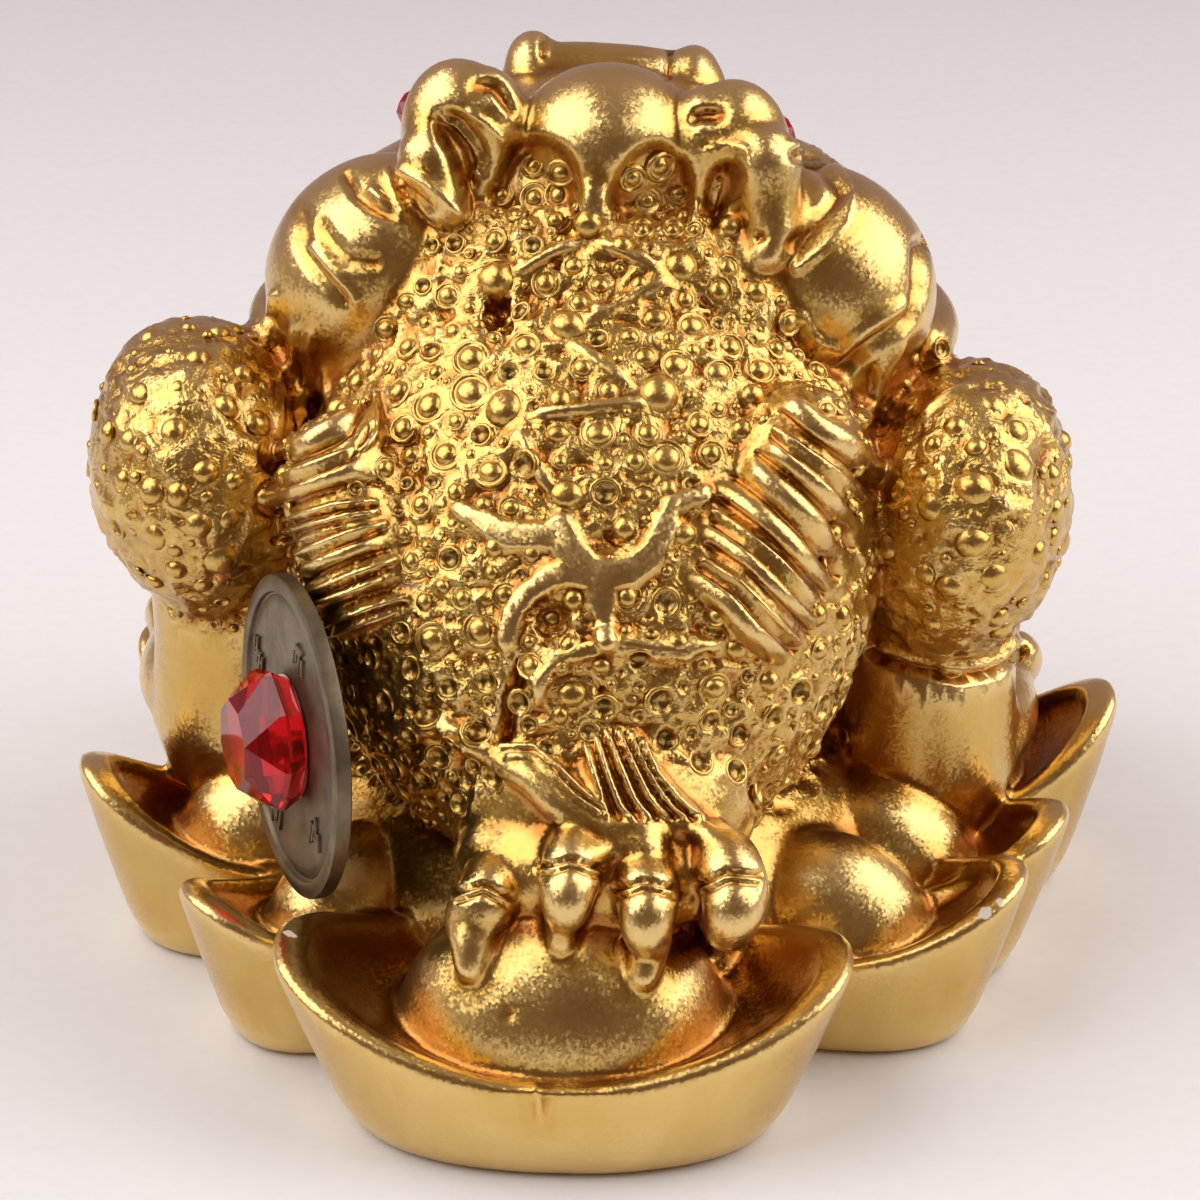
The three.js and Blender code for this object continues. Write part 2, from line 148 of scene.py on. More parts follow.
def finish_with(item, kind, **settings):
    """Adds a modifier with its settings and applies it."""
    only(item)
    bpy.ops.object.modifier_add(type=kind)
    modifier = item.modifiers[-1]
    for name, value in settings.items():
        setattr(modifier, name, value)
    bpy.ops.object.modifier_apply(modifier=modifier.name)
    return item


def joined(objects, name):
    """Makes the objects one, under a new name."""
    only(*objects)
    if len(objects) > 1:
        bpy.ops.object.join()
    objects[0].name = name
    objects[0].data.name = name
    return objects[0]


def egg(centre, radii, turn=(0, 0, 0), rings=14):
    """A ball stretched to its radii and turned by degrees about x, y and z."""
    bpy.ops.object.select_all(action="DESELECT")
    bpy.ops.mesh.primitive_uv_sphere_add(
        segments=2 * rings, ring_count=rings, radius=1, location=centre,
        rotation=[math.radians(angle) for angle in turn])
    ball = bpy.context.object
    ball.scale = radii
    return settle(ball)


def spread(values, share):
    """The value at a share of the way through an evenly spaced list."""
    way = share * (len(values) - 1)
    first = min(int(way), max(len(values) - 2, 0))
    last = min(first + 1, len(values) - 1)
    return values[first] + (values[last] - values[first]) * (way - first)


def roll(points, radii, sides=4):
    """A round bar along the points. The radii are spread evenly from its start to its end."""
    bpy.ops.object.select_all(action="DESELECT")
    bpy.ops.curve.primitive_bezier_curve_add()
    bar = bpy.context.object
    bar.data.dimensions = "3D"
    bar.data.bevel_depth = 1
    bar.data.bevel_resolution = sides
    bar.data.use_fill_caps = True
    spline = bar.data.splines[0]
    spline.resolution_u = 8
    spline.bezier_points.add(len(points) - 2)
    for i, (knot, point) in enumerate(zip(spline.bezier_points, points)):
        knot.co = point
        knot.radius = spread(radii, i / (len(points) - 1))
        knot.handle_left_type = knot.handle_right_type = "AUTO"
    bar.location = (0, 0, 0)
    only(bar)
    bpy.ops.object.convert(target="MESH")
    ends = [egg(points[0], [radii[0]] * 3, rings=6), egg(points[-1], [radii[-1]] * 3, rings=6)]
    return joined([bpy.data.objects[bar.name], *ends], "roll")


# %% [markdown]
# ## The ingots
#
# Each ingot is a boat-shaped bowl with a domed middle. One is made as by hand: a filled circle is
# extruded ring by ring up the outer wall, over the rim and down into the trough. Each ring is
# stretched to its share of the length and width, and its two ends are lifted to make the prow. The
# dome is an egg set in the trough.

# %% The ingots
INGOT_LENGTH = 31
FRONT_INGOT_LENGTH = 42
INGOT_WIDTH_SHARE = 0.52
RIM_HEIGHT = 8
TIP_RISE = 5.5
DOME_HEIGHT = 14.5
FRONT_DOME_HEIGHT = 17.2
RIM_WIDTH = 1.5
TIP_SHARPNESS = 1.6       # how quickly the rim climbs towards its tips
END_FULLNESS = 0.88       # below 1, the ends of the boat are blunter than those of an oval
INGOT_SIDES = 64
DOME_LENGTH_SHARE = 0.57  # the dome's length over the ingot's
DOME_WIDTH_SHARE = 0.83
DOME_BASE_SHARE = 0.58    # how high the dome is widest, over the rim's height


def ingot(middle, heading, length=INGOT_LENGTH, lift=0.0, dome_height=DOME_HEIGHT):
    """A boat with a dome, its middle at a place on the ground and its length turned by degrees."""
    half_long = length / 2
    half_wide = half_long * INGOT_WIDTH_SHARE
    inner = 1 - RIM_WIDTH / half_wide
    # share of the length, share of the width, height, share of the tip's rise
    rings = [
        (0.70, 0.82, 0.0, 0.0), (0.735, 0.87, 0.35, 0.0), (0.79, 0.925, RIM_HEIGHT * 0.22, 0.06),
        (0.845, 0.962, RIM_HEIGHT * 0.45, 0.22), (0.915, 0.985, RIM_HEIGHT * 0.68, 0.52),
        (0.975, 0.996, RIM_HEIGHT * 0.86, 0.86), (0.998, 0.998, RIM_HEIGHT * 0.95, 0.97),
        (0.985, 0.975, RIM_HEIGHT * 1.01, 1.0), (0.955, 0.93, RIM_HEIGHT * 1.01, 1.0),
        (inner + 0.02, inner - 0.01, RIM_HEIGHT * 0.98, 0.96), (0.84, 0.85, RIM_HEIGHT * 0.95, 0.79),
        (0.74, 0.81, RIM_HEIGHT * 0.91, 0.57), (0.62, 0.77, RIM_HEIGHT * 0.88, 0.35),
        (0.4, 0.6, RIM_HEIGHT * 0.84, 0.12),
    ]
    bpy.ops.object.select_all(action="DESELECT")
    bpy.ops.mesh.primitive_circle_add(vertices=INGOT_SIDES, radius=1, fill_type="NGON")
    bowl = bpy.context.object
    bpy.ops.object.mode_set(mode="EDIT")
    bpy.ops.mesh.select_all(action="SELECT")
    last_long, last_wide = 1, 1
    for number, (long_share, wide_share, height, rise) in enumerate(rings):
        if number:
            bpy.ops.mesh.extrude_region_move()
        for corner in bmesh.from_edit_mesh(bowl.data).verts:
            if corner.select:
                x, y = Vector((corner.co.x / last_long, corner.co.y / last_wide)).normalized()
                lifted = rise * (TIP_RISE + lift) * abs(x) ** TIP_SHARPNESS
                corner.co = (long_share * half_long * x, wide_share * half_wide * y, height + lifted)
        bmesh.update_edit_mesh(bowl.data)
        last_long, last_wide = long_share * half_long, wide_share * half_wide
    bpy.ops.object.mode_set(mode="OBJECT")
    for corner in bowl.data.vertices:
        flat = Vector((corner.co.x / half_long, corner.co.y / half_wide))
        if flat.length > 0:
            cosine, sine = flat.normalized()
            corner.co.x = math.copysign(abs(cosine) ** END_FULLNESS, cosine) * flat.length * half_long
            corner.co.y = math.copysign(abs(sine) ** END_FULLNESS, sine) * flat.length * half_wide
    base = RIM_HEIGHT * DOME_BASE_SHARE + (dome_height - DOME_HEIGHT)
    radii = (half_long * DOME_LENGTH_SHARE, half_wide * DOME_WIDTH_SHARE, dome_height - base)
    dome = egg((0, 0, base), radii, rings=32)
    both = joined([bowl, dome], "ingot")
    both.rotation_euler.z = math.radians(heading)
    both.location = (*middle, 0)
    return settle(both)


INGOTS = [
    dict(middle=(-1.3, -26.1), heading=0, length=FRONT_INGOT_LENGTH, dome_height=FRONT_DOME_HEIGHT),
    dict(middle=(-17.2, -12.4), heading=35, length=0.94 * INGOT_LENGTH),
    dict(middle=(-24.7, 0), heading=17, lift=1.8),
    dict(middle=(-23, 17), heading=-10, lift=1),
    dict(middle=(17.2, -11.2), heading=-11),
    dict(middle=(20.6, -1.6), heading=-14),
    dict(middle=(24.6, 10), heading=6, lift=2),
    dict(middle=(17, 24), heading=30),
    dict(middle=(-15, 27), heading=-28),
    dict(middle=(1, 29.5), heading=0),
]
forms = [ingot(**boat) for boat in INGOTS]
print(len(forms), "ingots")

# %% [markdown]
# ## The body
#
# The torso is one long egg leaning forward, with rounder eggs for the rump and belly. The bed egg
# fills the hollow between the ingots, as the resin does. The front legs are a shoulder, a shank and
# a foot with three toes on each side.

# %% The body
TORSO_CENTRE = Vector((-0.5, -1, 35))
TORSO_RADII = (21.5, 16, 27)
TORSO_LEAN = 42.9
RUMP = ((-0.8, -9, 24), (16, 12.5, 12.5))
BELLY = ((-1, 12, 24), (22, 17, 21))
BED = ((-1.2, 3.4, 8), (23.5, 25, 13))
forms += [
    egg(TORSO_CENTRE, TORSO_RADII, (-TORSO_LEAN, 0, 0), rings=64),
    egg(*RUMP, rings=40),
    egg(*BELLY, rings=40),
    egg(*BED, rings=32),
]

SHOULDER_TILT = 11        # degrees by which the top of a shoulder leans towards the body
SHANK = [(2.4, 2, 6), (2.4, 1.4, 15), (2.2, 1, 22)]  # its bends: inwards, ahead and down from the shoulder
SHANK_RADII = [7.5, 7.2, 7.4]
FOOT = (0.6, 7, 20.5)     # its middle: inwards, ahead and down from the shoulder
FOOT_RADII = (7.6, 11, 4.5)
FRONT_TOES = [(5, 13), (0, 18.5), (-5.5, 17)]  # each knuckle: outwards and ahead from the shoulder
TOE_DROP = 19.5           # how far down from the shoulder a knuckle is
TOE_START = 2             # how far behind its knuckle a toe starts
CLAW = (0.6, 6, 4)        # outwards, ahead and down from the knuckle
TOE_RADII = [2, 2.6, 0.6]
FRONT_LEGS = [
    dict(side=-1, shoulder=(-29.9, 4, 36.5), radii=(8.7, 11.5, 11.4)),
    dict(side=1, shoulder=(26.9, 4, 34.4), radii=(8.2, 11.5, 11.4)),
]


def front_leg(side, shoulder, radii):
    """A shoulder, a shank, a foot and three toes, on the toad's left with side -1 or its right with 1."""
    x, y, z = shoulder
    *shank, foot = [(x - side * inwards, y + ahead, z - down) for inwards, ahead, down in (*SHANK, FOOT)]
    parts = [
        egg(shoulder, radii, (0, side * SHOULDER_TILT, 0), rings=40),
        roll(shank, SHANK_RADII, sides=16),
        egg(foot, FOOT_RADII, rings=24),
    ]
    for outwards, ahead in FRONT_TOES:
        knuckle = Vector((x + side * outwards, y + ahead, z - TOE_DROP))
        claw = knuckle + Vector((side * CLAW[0], CLAW[1], -CLAW[2]))
        parts.append(roll([knuckle - Vector((0, TOE_START, 0)), knuckle, claw], TOE_RADII))
    return parts


for leg in FRONT_LEGS:
    forms += front_leg(**leg)

STACKS = [
    dict(top=(-18.4, -6.8, 44.2), foot=(-15.6, -13.6, 33.2)),
    dict(top=(15.6, -5.8, 46.4), foot=(10.2, -15.6, 33.4)),
]
CORE_RADIUS = 4.5         # the smooth core that the edges of the stacked coins are laid on
CORE_INSET = 2.4          # how far the middles of its round ends are from the ends of the stack
for stack in STACKS:
    top, foot = Vector(stack["top"]), Vector(stack["foot"])
    inset = (foot - top).normalized() * CORE_INSET
    forms.append(roll([top + inset, foot - inset], [CORE_RADIUS] * 2, sides=12))
print(len(forms), "forms with the body")

# %% [markdown]
# ## The head
#
# From behind the head is a broad mass of jowls, two scrolled brows with a smooth forehead plate
# between them, and the snout bar beyond. The lip is one long roll round the mouth. The hollows are
# carved later.

# %% The head
HEAD_CENTRE = (-0.5, 13, 46)
HEAD_RADII = (25.2, 17.8, 16)
LIP_HEIGHT = 45.1
LIP_RADII = [1.9, 2.16, 1.9]
MOUTH_BOW = 1.5           # how much higher the lip is in front than at its corners
# middle, radii, degrees by which it leans about y
JOWLS = [((-17.6, 8, 51.8), (7.2, 8, 8.8), 40), ((16.8, 8, 51.6), (7.2, 8, 8.8), -38)]
FOREHEAD = ((0.2, 8.2, 61.6), (6.8, 6.4, 5.8))
FOREHEAD_POINT = ((-0.6, 4.5, 58.6), (2.3, 4, 4))
CROWN = ((-1, 15, 57.5), (13.5, 13, 6.5), (-6, 0, 0))
SNOUT = [(-6.0, 20.6, 61.9), (0, 21, 61.9), (6, 20.6, 61.2)]
SNOUT_RADII = [2.7, 2.6, 2.7]
NOSTRILS = [(-6.2, 21, 62.4), (6.0, 21, 61.5)]
NOSTRIL_RADII = (2.2, 3.1, 3.0)


def mouth_arc(height, first=-12, last=192, steps=16):
    """Points round the head at a height, between two angles in degrees, a little higher in front."""
    share = math.sqrt(1 - ((height - HEAD_CENTRE[2]) / HEAD_RADII[2]) ** 2)
    points = []
    for i in range(steps + 1):
        angle = math.radians(first + (last - first) * i / steps)
        points.append((
            HEAD_CENTRE[0] + HEAD_RADII[0] * share * math.cos(angle),
            HEAD_CENTRE[1] + HEAD_RADII[1] * share * math.sin(angle),
            height + MOUTH_BOW * math.sin(angle) ** 2,
        ))
    return points


# the tail of a brow is a list of pixels in the photograph, each with its depth y
BROWS = [
    dict(side=-1, middle=(-10.3, 7.5, 61.6),
         tail=[((434, 158), 4.5), ((437, 182), 3.4), ((446, 204), 2.2)]),
    dict(side=1, middle=(8.9, 7.5, 60.4),
         tail=[((764, 160), 4.4), ((770, 200), 3.6), ((772, 234), 2.4), ((766, 256), 1.2)]),
]
BROW_RADII = (4.7, 4.4, 6.4)
BROW_TILT = 10            # degrees by which the top of a brow leans towards the other one
# outwards, ahead and up from the middle of the brow, radii, rings
BROW_FOLD = ((-1.4, -0.4, 1.4), (3.4, 3.6, 4.6), 24)
EYE_LID = ((1.0, 4.8, -1.4), (3.8, 4.2, 4.0), 20)
TAIL_RADII = [2.8, 2.3, 1.9, 1.2]


def brow(side, middle, tail):
    """An upright egg with a fold on its inner side, the lid of the eye in front and a tail behind."""
    x, y, z = middle
    parts = [egg(middle, BROW_RADII, (0, side * BROW_TILT, 0), rings=32)]
    for (outwards, ahead, up), radii, rings in (BROW_FOLD, EYE_LID):
        parts.append(egg((x + side * outwards, y + ahead, z + up), radii, rings=rings))
    parts.append(roll([spot(pixel, depth) for pixel, depth in tail], TAIL_RADII[:len(tail)], sides=12))
    return parts


forms += [
    egg(HEAD_CENTRE, HEAD_RADII, rings=64),
    egg(*CROWN, rings=32),
    roll(mouth_arc(LIP_HEIGHT), LIP_RADII, sides=8),
    egg(*FOREHEAD, rings=40),
    egg(*FOREHEAD_POINT, rings=20),
    roll(SNOUT, SNOUT_RADII, sides=8),
    *[egg(middle, NOSTRIL_RADII, rings=20) for middle in NOSTRILS],
]
forms += [egg(centre, radii, (0, turn, 0), rings=40) for centre, radii, turn in JOWLS]
for one in BROWS:
    forms += brow(**one)
print(len(forms), "forms with the head")

# %% [markdown]
# ## The hind foot
#
# Four toes come out from under the rump and grip the dome of the front ingot. Each toe is a
# knuckle, a ball and a blunt nail. Their places are read from the photograph: a pixel across and
# down, and a depth y worked out from the dome that they rest on.

# %% The hind foot
ANKLE = ((1, -18, 21), (11.5, 8, 8.5))
FOOT_BACK = ((1.2, -23.2, 18.8), (10.6, 5.8, 4.8))
FOOT_SLOPE = 14           # degrees by which the back of the foot slopes down towards the toes
SIDE_KNUCKLE = ((489, 851), -23.6, 2.3)   # pixel, depth y, radius
# across, down, depth y, radius
TOES = [
    [(499, 868, -25.0, 1.9), (490, 884, -26.9, 2.15), (485, 903, -28.6, 2.3), (482, 926, -29.8, 2.05),
     (478, 950, -31.0, 1.65), (474, 970, -31.7, 1.15)],
    [(571, 844, -25.6, 1.9), (571, 858, -27.8, 2.1), (570, 878, -29.6, 2.25), (567, 902, -31.0, 1.85),
     (564, 926, -32.0, 1.5), (561, 946, -32.6, 1.05)],
    [(640, 866, -25.6, 1.9), (645, 879, -27.8, 2.15), (648, 897, -29.6, 2.3), (646, 922, -31.2, 1.95),
     (643, 952, -32.4, 1.6), (640, 978, -33.1, 1.1)],
    [(716, 848, -24.6, 2.0), (728, 865, -26.8, 2.4), (736, 887, -28.4, 2.5), (732, 914, -30.0, 2.1),
     (726, 942, -31.2, 1.7), (720, 967, -32.0, 1.15)],
]
DOME_STOP = 3             # from this stop on, a toe lies on the dome
LEAST_FACING = 0.5        # but over a steeper side of the dome it keeps its own depth
DOME_REST = 0.7           # height of a nail's middle line over the dome, as a share of its radius
BALL_RISE = 0.8           # mm, how far at least a toe's ball stands over the start of its nail
BALL_BLEND = 0.3          # how far the ball is drawn towards the nail, as a share of the way
only(forms[0])
dome_surface = BVHTree.FromObject(forms[0], bpy.context.evaluated_depsgraph_get())
forms += [
    egg(*ANKLE, rings=32),
    egg(*FOOT_BACK, (FOOT_SLOPE, 0, 0), rings=24),
    egg(spot(*SIDE_KNUCKLE[:2]), [SIDE_KNUCKLE[2]] * 3, rings=16),
]
for route in TOES:
    stops = [spot((across, down), depth) for across, down, depth, _ in route]
    for number in range(DOME_STOP, len(route)):
        found, normal, _, _ = dome_surface.ray_cast(eye, sight(route[number][:2]))
        if found is not None and normal.dot(backwards) > LEAST_FACING:
            stops[number] = found + normal * route[number][3] * DOME_REST
    ball = stops[DOME_STOP - 1].lerp(stops[DOME_STOP], BALL_BLEND)
    ball.z = max(ball.z, stops[DOME_STOP].z + BALL_RISE)
    stops[DOME_STOP - 1] = ball
    forms.append(roll(stops, [radius for *_, radius in route], sides=10))
print(len(forms), "forms with the hind foot")

# %% [markdown]
# ## One casting
#
# The forms are joined and remeshed in small cubes, which fuses them into one skin as the pour does.

# %% Fusing the forms
VOXEL = 0.3
casting = joined(forms, "toad_casting_gilt")
finish_with(casting, "REMESH", mode="VOXEL", voxel_size=VOXEL)
finish_with(casting, "SMOOTH", factor=0.5, iterations=4)
surface = BVHTree.FromObject(casting, bpy.context.evaluated_depsgraph_get())
print("fused", len(casting.data.polygons), "faces")

# %% [markdown]
# ## Rolls laid on the body
#
# The stacked coins on the flanks look like a row of rounded ridges. The tendon of the hind leg, its
# strands and the ridge over the hip are rolls too, pressed on like strings of clay. Each is drawn
# in the photograph's pixels and laid where those pixels meet the fused skin. Both its ends dive
# under the skin.

# %% Rolls laid on the body
def laid(pixels, radii, rise, step=9):
    """A roll along the pixels, its middle line above the skin by a share of its radius."""
    corners = [Vector(pixel) for pixel in pixels]
    lengths = [(b - a).length for a, b in zip(corners, corners[1:])]
    count = max(3, round(sum(lengths) / step))
    points = []
    for i in range(count + 1):
        left = sum(lengths) * i / count
        number = 0
        while number < len(lengths) - 1 and left > lengths[number]:
            left -= lengths[number]
            number += 1
        pixel = corners[number].lerp(corners[number + 1], min(left / lengths[number], 1))
        found, normal, _, _ = surface.ray_cast(eye, sight(pixel))
        if found is not None:
            dive = 1.0 if i in (0, count) else 0.0
            points.append(found + normal * spread(radii, i / count) * (rise - dive))
    smooth = [(a + b * 2 + c) / 4 for a, b, c in zip(points, points[1:], points[2:])]
    return roll([points[0], *smooth, points[-1]], radii, sides=5)


# each line of pixels in the photograph, and its radii in mm
LEFT_STACK = [
    ([(274, 457), (300, 445), (317, 435), (347, 418), (360, 407)], [0.8, 1.0, 0.9]),
    ([(286, 476), (332, 458), (364, 447), (373, 436), (375, 412), (377, 392)], [0.4]),
    ([(272, 499), (297, 487), (326, 476), (366, 464)], [0.9, 1.05, 0.9]),
    ([(288, 519), (332, 506), (374, 502)], [0.4]),
    ([(284, 531), (332, 519), (347, 514), (376, 511)], [0.5]),
    ([(264, 551), (284, 543), (304, 535)], [0.9, 1.2, 0.8]),
    ([(300, 554), (347, 534), (384, 524)], [0.5]),
    ([(284, 576), (320, 560), (347, 550), (378, 539)], [0.9, 1.0, 0.8]),
    ([(306, 595), (347, 577), (396, 559)], [0.45]),
    ([(306, 607), (347, 592), (380, 579)], [0.65]),
    ([(328, 624), (374, 606), (406, 598)], [0.42]),
    ([(332, 633), (396, 610)], [0.38]),
]
RIGHT_STACK = [
    ([(784, 396), (817, 428), (851, 447), (883, 477)], [1.1, 1.25, 1.1]),
    ([(776, 430), (806, 452), (838, 474), (862, 500)], [0.42]),
    ([(768, 443), (806, 470), (834, 498), (860, 532)], [1.0, 1.15, 1.0]),
    ([(746, 463), (783, 492), (817, 523), (845, 566)], [0.75, 0.85, 0.75]),
    ([(719, 486), (755, 512), (789, 543), (831, 588)], [0.9, 1.0, 0.9]),
    ([(716, 512), (745, 532), (778, 560), (814, 600)], [0.38]),
    ([(708, 531), (744, 554), (772, 582), (816, 623)], [1.1, 1.25, 1.1]),
    ([(704, 560), (740, 582), (770, 612), (798, 642)], [0.38]),
    ([(694, 575), (733, 604), (755, 632), (787, 659)], [1.05, 1.2, 1.0]),
]
HIP = [([(539, 704), (538, 682), (554, 664), (584, 648), (613, 642), (648, 647), (675, 649), (722, 644)],
        [0.75, 0.8, 0.75])]
TENDON = [
    ([(386, 729), (428, 726), (452, 728), (479, 744), (511, 765), (536, 779), (560, 804), (582, 817),
      (608, 832), (637, 831), (660, 834)], [0.8, 0.9, 0.95, 1.1, 1.3, 1.35, 1.2, 1.2, 1.35]),
    ([(596, 852), (624, 848), (664, 851)], [0.8, 0.9, 0.8]),
    ([(664, 824), (690, 828), (716, 838)], [0.9, 1.0, 0.8]),
]
STRANDS = [
    ([(500, 748), (534, 747), (557, 767), (580, 790), (602, 806)], [0.4]),
    ([(508, 757), (534, 757), (553, 775), (574, 797), (598, 813)], [0.38]),
    ([(586, 745), (598, 785), (606, 816)], [0.42]),
    ([(596, 736), (608, 775), (620, 806), (632, 820)], [0.42]),
    ([(607, 733), (620, 765), (634, 798), (648, 819)], [0.42]),
    ([(619, 732), (634, 765), (650, 798), (666, 816)], [0.42]),
    ([(631, 735), (646, 768), (664, 798), (684, 818)], [0.42]),
    ([(642, 742), (657, 775), (680, 801), (702, 820)], [0.42]),
]
STARS = [
    ([(516, 274), (545, 256), (577, 243)], [0.55]), ([(597, 240), (630, 256), (664, 273)], [0.55]),
    ([(584, 321), (625, 302), (670, 278)], [0.6]), ([(572, 343), (600, 366), (632, 388)], [0.5]),
    ([(649, 402), (590, 408), (532, 415)], [0.5]), ([(518, 427), (532, 462), (553, 492)], [0.55]),
]
NECK = [
    ([(298, 318), (296, 356), (298, 404), (300, 424)], [0.6]),
    ([(312, 322), (309, 360), (308, 404)], [0.42]), ([(328, 372), (329, 404)], [0.4]),
    ([(280, 368), (281, 434)], [0.35]), ([(886, 356), (876, 385), (868, 410), (848, 434)], [0.6]),
    ([(905, 340), (890, 364), (880, 400)], [0.4]), ([(920, 417), (949, 395), (975, 383)], [0.4]),
]
# how far a roll's middle line stands over the skin, as a share of its radius
RISES = [(LEFT_STACK + RIGHT_STACK, -0.25), (HIP + TENDON, 0.2), (STRANDS, 0.9), (STARS + NECK, 0.4)]
laid_rolls = [laid(pixels, radii, rise) for lines, rise in RISES for pixels, radii in lines]
print(len(laid_rolls), "rolls laid on the skin")

# %% [markdown]
# ### Fusing the rolls
#
# A second remesh melts the rolls into the skin. The remesh leaves a small fillet along each, as a
# modelling tool does when it presses a string of clay on.

# %% Fusing the rolls
casting = joined([casting, *laid_rolls], "toad_casting_gilt")
finish_with(casting, "REMESH", mode="VOXEL", voxel_size=VOXEL)
print("fused", len(casting.data.polygons), "faces")

# %% [markdown]
# ## Carving in the photograph's plane
#
# A carver who copies a picture draws it on the clay first. Every point of the skin is seen at some
# pixel of the photograph, so a hollow can be drawn as an outline in pixels. The points inside it
# are pushed away from the camera. A point that something else hides from the camera is left alone.

# %% The skin as numbers
CELL = 4                  # pixels, a little more than the distance between two points of the skin
CELLS = PHOTO_WIDTH // CELL
HIDDEN_STEP = 1.5         # mm behind the nearest point of its cell at which a point counts as hidden


class Skin:
    """A mesh's points and normals as numbers, with the pixel of the photograph where each is seen."""

    def __init__(self, item):
        self.item = item
        count = len(item.data.vertices)
        flat = np.empty(count * 3)
        item.data.vertices.foreach_get("co", flat)
        self.points = flat.reshape(-1, 3)
        flat = np.empty(count * 3)
        item.data.vertices.foreach_get("normal", flat)
        self.normals = flat.reshape(-1, 3)
        offset = self.points - np.array(eye)
        depth = -offset @ np.array(backwards)
        self.pixels = np.stack([
            PHOTO_WIDTH / 2 + FOCAL_PIXELS * (offset @ np.array(rightwards)) / depth,
            PHOTO_WIDTH / 2 - FOCAL_PIXELS * (offset @ np.array(upwards)) / depth], axis=1)
        cells = np.clip((self.pixels / CELL).astype(int), 0, CELLS - 1)
        number = cells[:, 1] * CELLS + cells[:, 0]
        nearest = np.full(CELLS * CELLS, 1e9)
        np.minimum.at(nearest, number, depth)
        facing = self.normals @ np.array(backwards)
        self.seen = (depth < nearest[number] + HIDDEN_STEP) & (facing > 0)

    def moved(self, shift):
        """Shifts the mesh's points, each by its own vector in mm."""
        self.item.data.vertices.foreach_set("co", (self.points + shift).ravel())
        self.item.data.update()


def smooth_step(low, high, value):
    """0 below low, 1 above high, and a soft slope between them."""
    share = np.clip((value - low) / (high - low), 0, 1)
    return share * share * (3 - 2 * share)


def fade(low, high, value):
    """1 below low, 0 above high, and a soft slope between them."""
    return 1 - smooth_step(low, high, value)


def near_line(skin, route, reach):
    """The seen points within reach of a line of pixels, and how many pixels off it each one is."""
    route = np.array(route, dtype=float)
    low, high = route.min(0) - reach, route.max(0) + reach
    index = np.nonzero(skin.seen & np.all((skin.pixels > low) & (skin.pixels < high), axis=1))[0]
    spots = skin.pixels[index]
    gap = np.full(len(index), 1e9)
    for start, end in zip(route[:-1], route[1:]):
        along = end - start
        share = np.clip((spots - start) @ along / max(along @ along, 1e-9), 0, 1)
        gap = np.minimum(gap, np.linalg.norm(spots - start - share[:, None] * along, axis=1))
    return index, gap


def within(spots, corners):
    """Which spots lie inside the outline with these corners."""
    inside = np.zeros(len(spots), dtype=bool)
    for (x1, y1), (x2, y2) in zip(corners, corners[1:] + corners[:1]):
        crosses = (y1 > spots[:, 1]) != (y2 > spots[:, 1])
        meets = x1 + (spots[:, 1] - y1) / (y2 - y1 + 1e-9) * (x2 - x1)
        inside ^= crosses & (spots[:, 0] < meets)
    return inside


# %% [markdown]
# ### The hollows of the head
#
# The eye sockets of the scrolled brows and the two hollows under the forehead are cut with a gouge
# on the real model. Each is an outline with a depth and a slope. The two under the forehead have no
# lower wall, so they fade out over a few rows of pixels. The pits are round and sink like a thumb
# mark.

# %% The hollows of the head
# outline, depth in mm, pixels over which the wall slopes, rows between which the hollow fades out
HOLLOWS = [
    ([(466, 83), (475, 75), (491, 73), (504, 79), (513, 94), (520, 113), (512, 120), (501, 117),
      (489, 101), (477, 96), (467, 101)], 1.15, 12, None),
    ([(426, 117), (437, 106), (453, 102), (467, 110), (480, 124), (491, 141), (495, 160), (491, 177),
      (482, 185), (475, 202), (464, 214), (456, 200), (451, 180), (444, 160), (433, 141)], 1.5, 16, None),
    ([(686, 118), (690, 108), (703, 103), (720, 104), (731, 110), (729, 121), (717, 127), (703, 126),
      (691, 132)], 0.9, 10, None),
    ([(711, 162), (727, 155), (743, 160), (751, 174), (745, 191), (732, 209), (724, 228), (717, 243),
      (707, 233), (700, 214), (699, 194), (703, 174)], 1.5, 15, None),
    ([(505, 138), (520, 133), (537, 131), (554, 134), (569, 143), (581, 159), (585, 177), (588, 200),
      (576, 214), (554, 230), (526, 232), (500, 226), (484, 214), (484, 186), (492, 177), (498, 160)],
      1.15, 15, (186, 232)),
    ([(606, 188), (609, 177), (617, 162), (628, 148), (644, 137), (662, 135), (676, 143), (682, 152),
      (691, 155), (697, 177), (697, 202), (701, 228), (697, 250), (660, 262), (632, 258), (612, 240),
      (604, 211)], 1.15, 15, (200, 256)),
    ([(752, 236), (758, 231), (768, 234), (766, 243), (756, 244)], 1.0, 4, None),
]
HOLLOW_REACH = 30         # pixels, more than the widest slope
PIT_FLOOR = 0.3           # the flat part of a pit, as a share of its radius
# middle, radius in pixels, depth in mm
PITS = [((498, 314), 20, 2.2), ((610, 540), 18, 0.9), ((551, 618), 27, 1.3), ((510, 1015), 8, 0.4)]

skin = Skin(casting)
pushed = np.zeros(len(skin.points))
for outline, depth, slope, rows in HOLLOWS:
    index, gap = near_line(skin, outline + outline[:1], HOLLOW_REACH)
    push = depth * smooth_step(0, slope, gap) * within(skin.pixels[index], outline)
    if rows:
        push *= fade(*rows, skin.pixels[index][:, 1])
    pushed[index] = np.maximum(pushed[index], push)
for middle, radius, depth in PITS:
    index, gap = near_line(skin, [middle, middle], radius)
    pushed[index] = np.maximum(pushed[index], depth * fade(radius * PIT_FLOOR, radius, gap))
skin.moved(pushed[:, None] * -np.array(backwards))
print("the deepest hollow is", round(float(pushed.max()), 1), "mm")

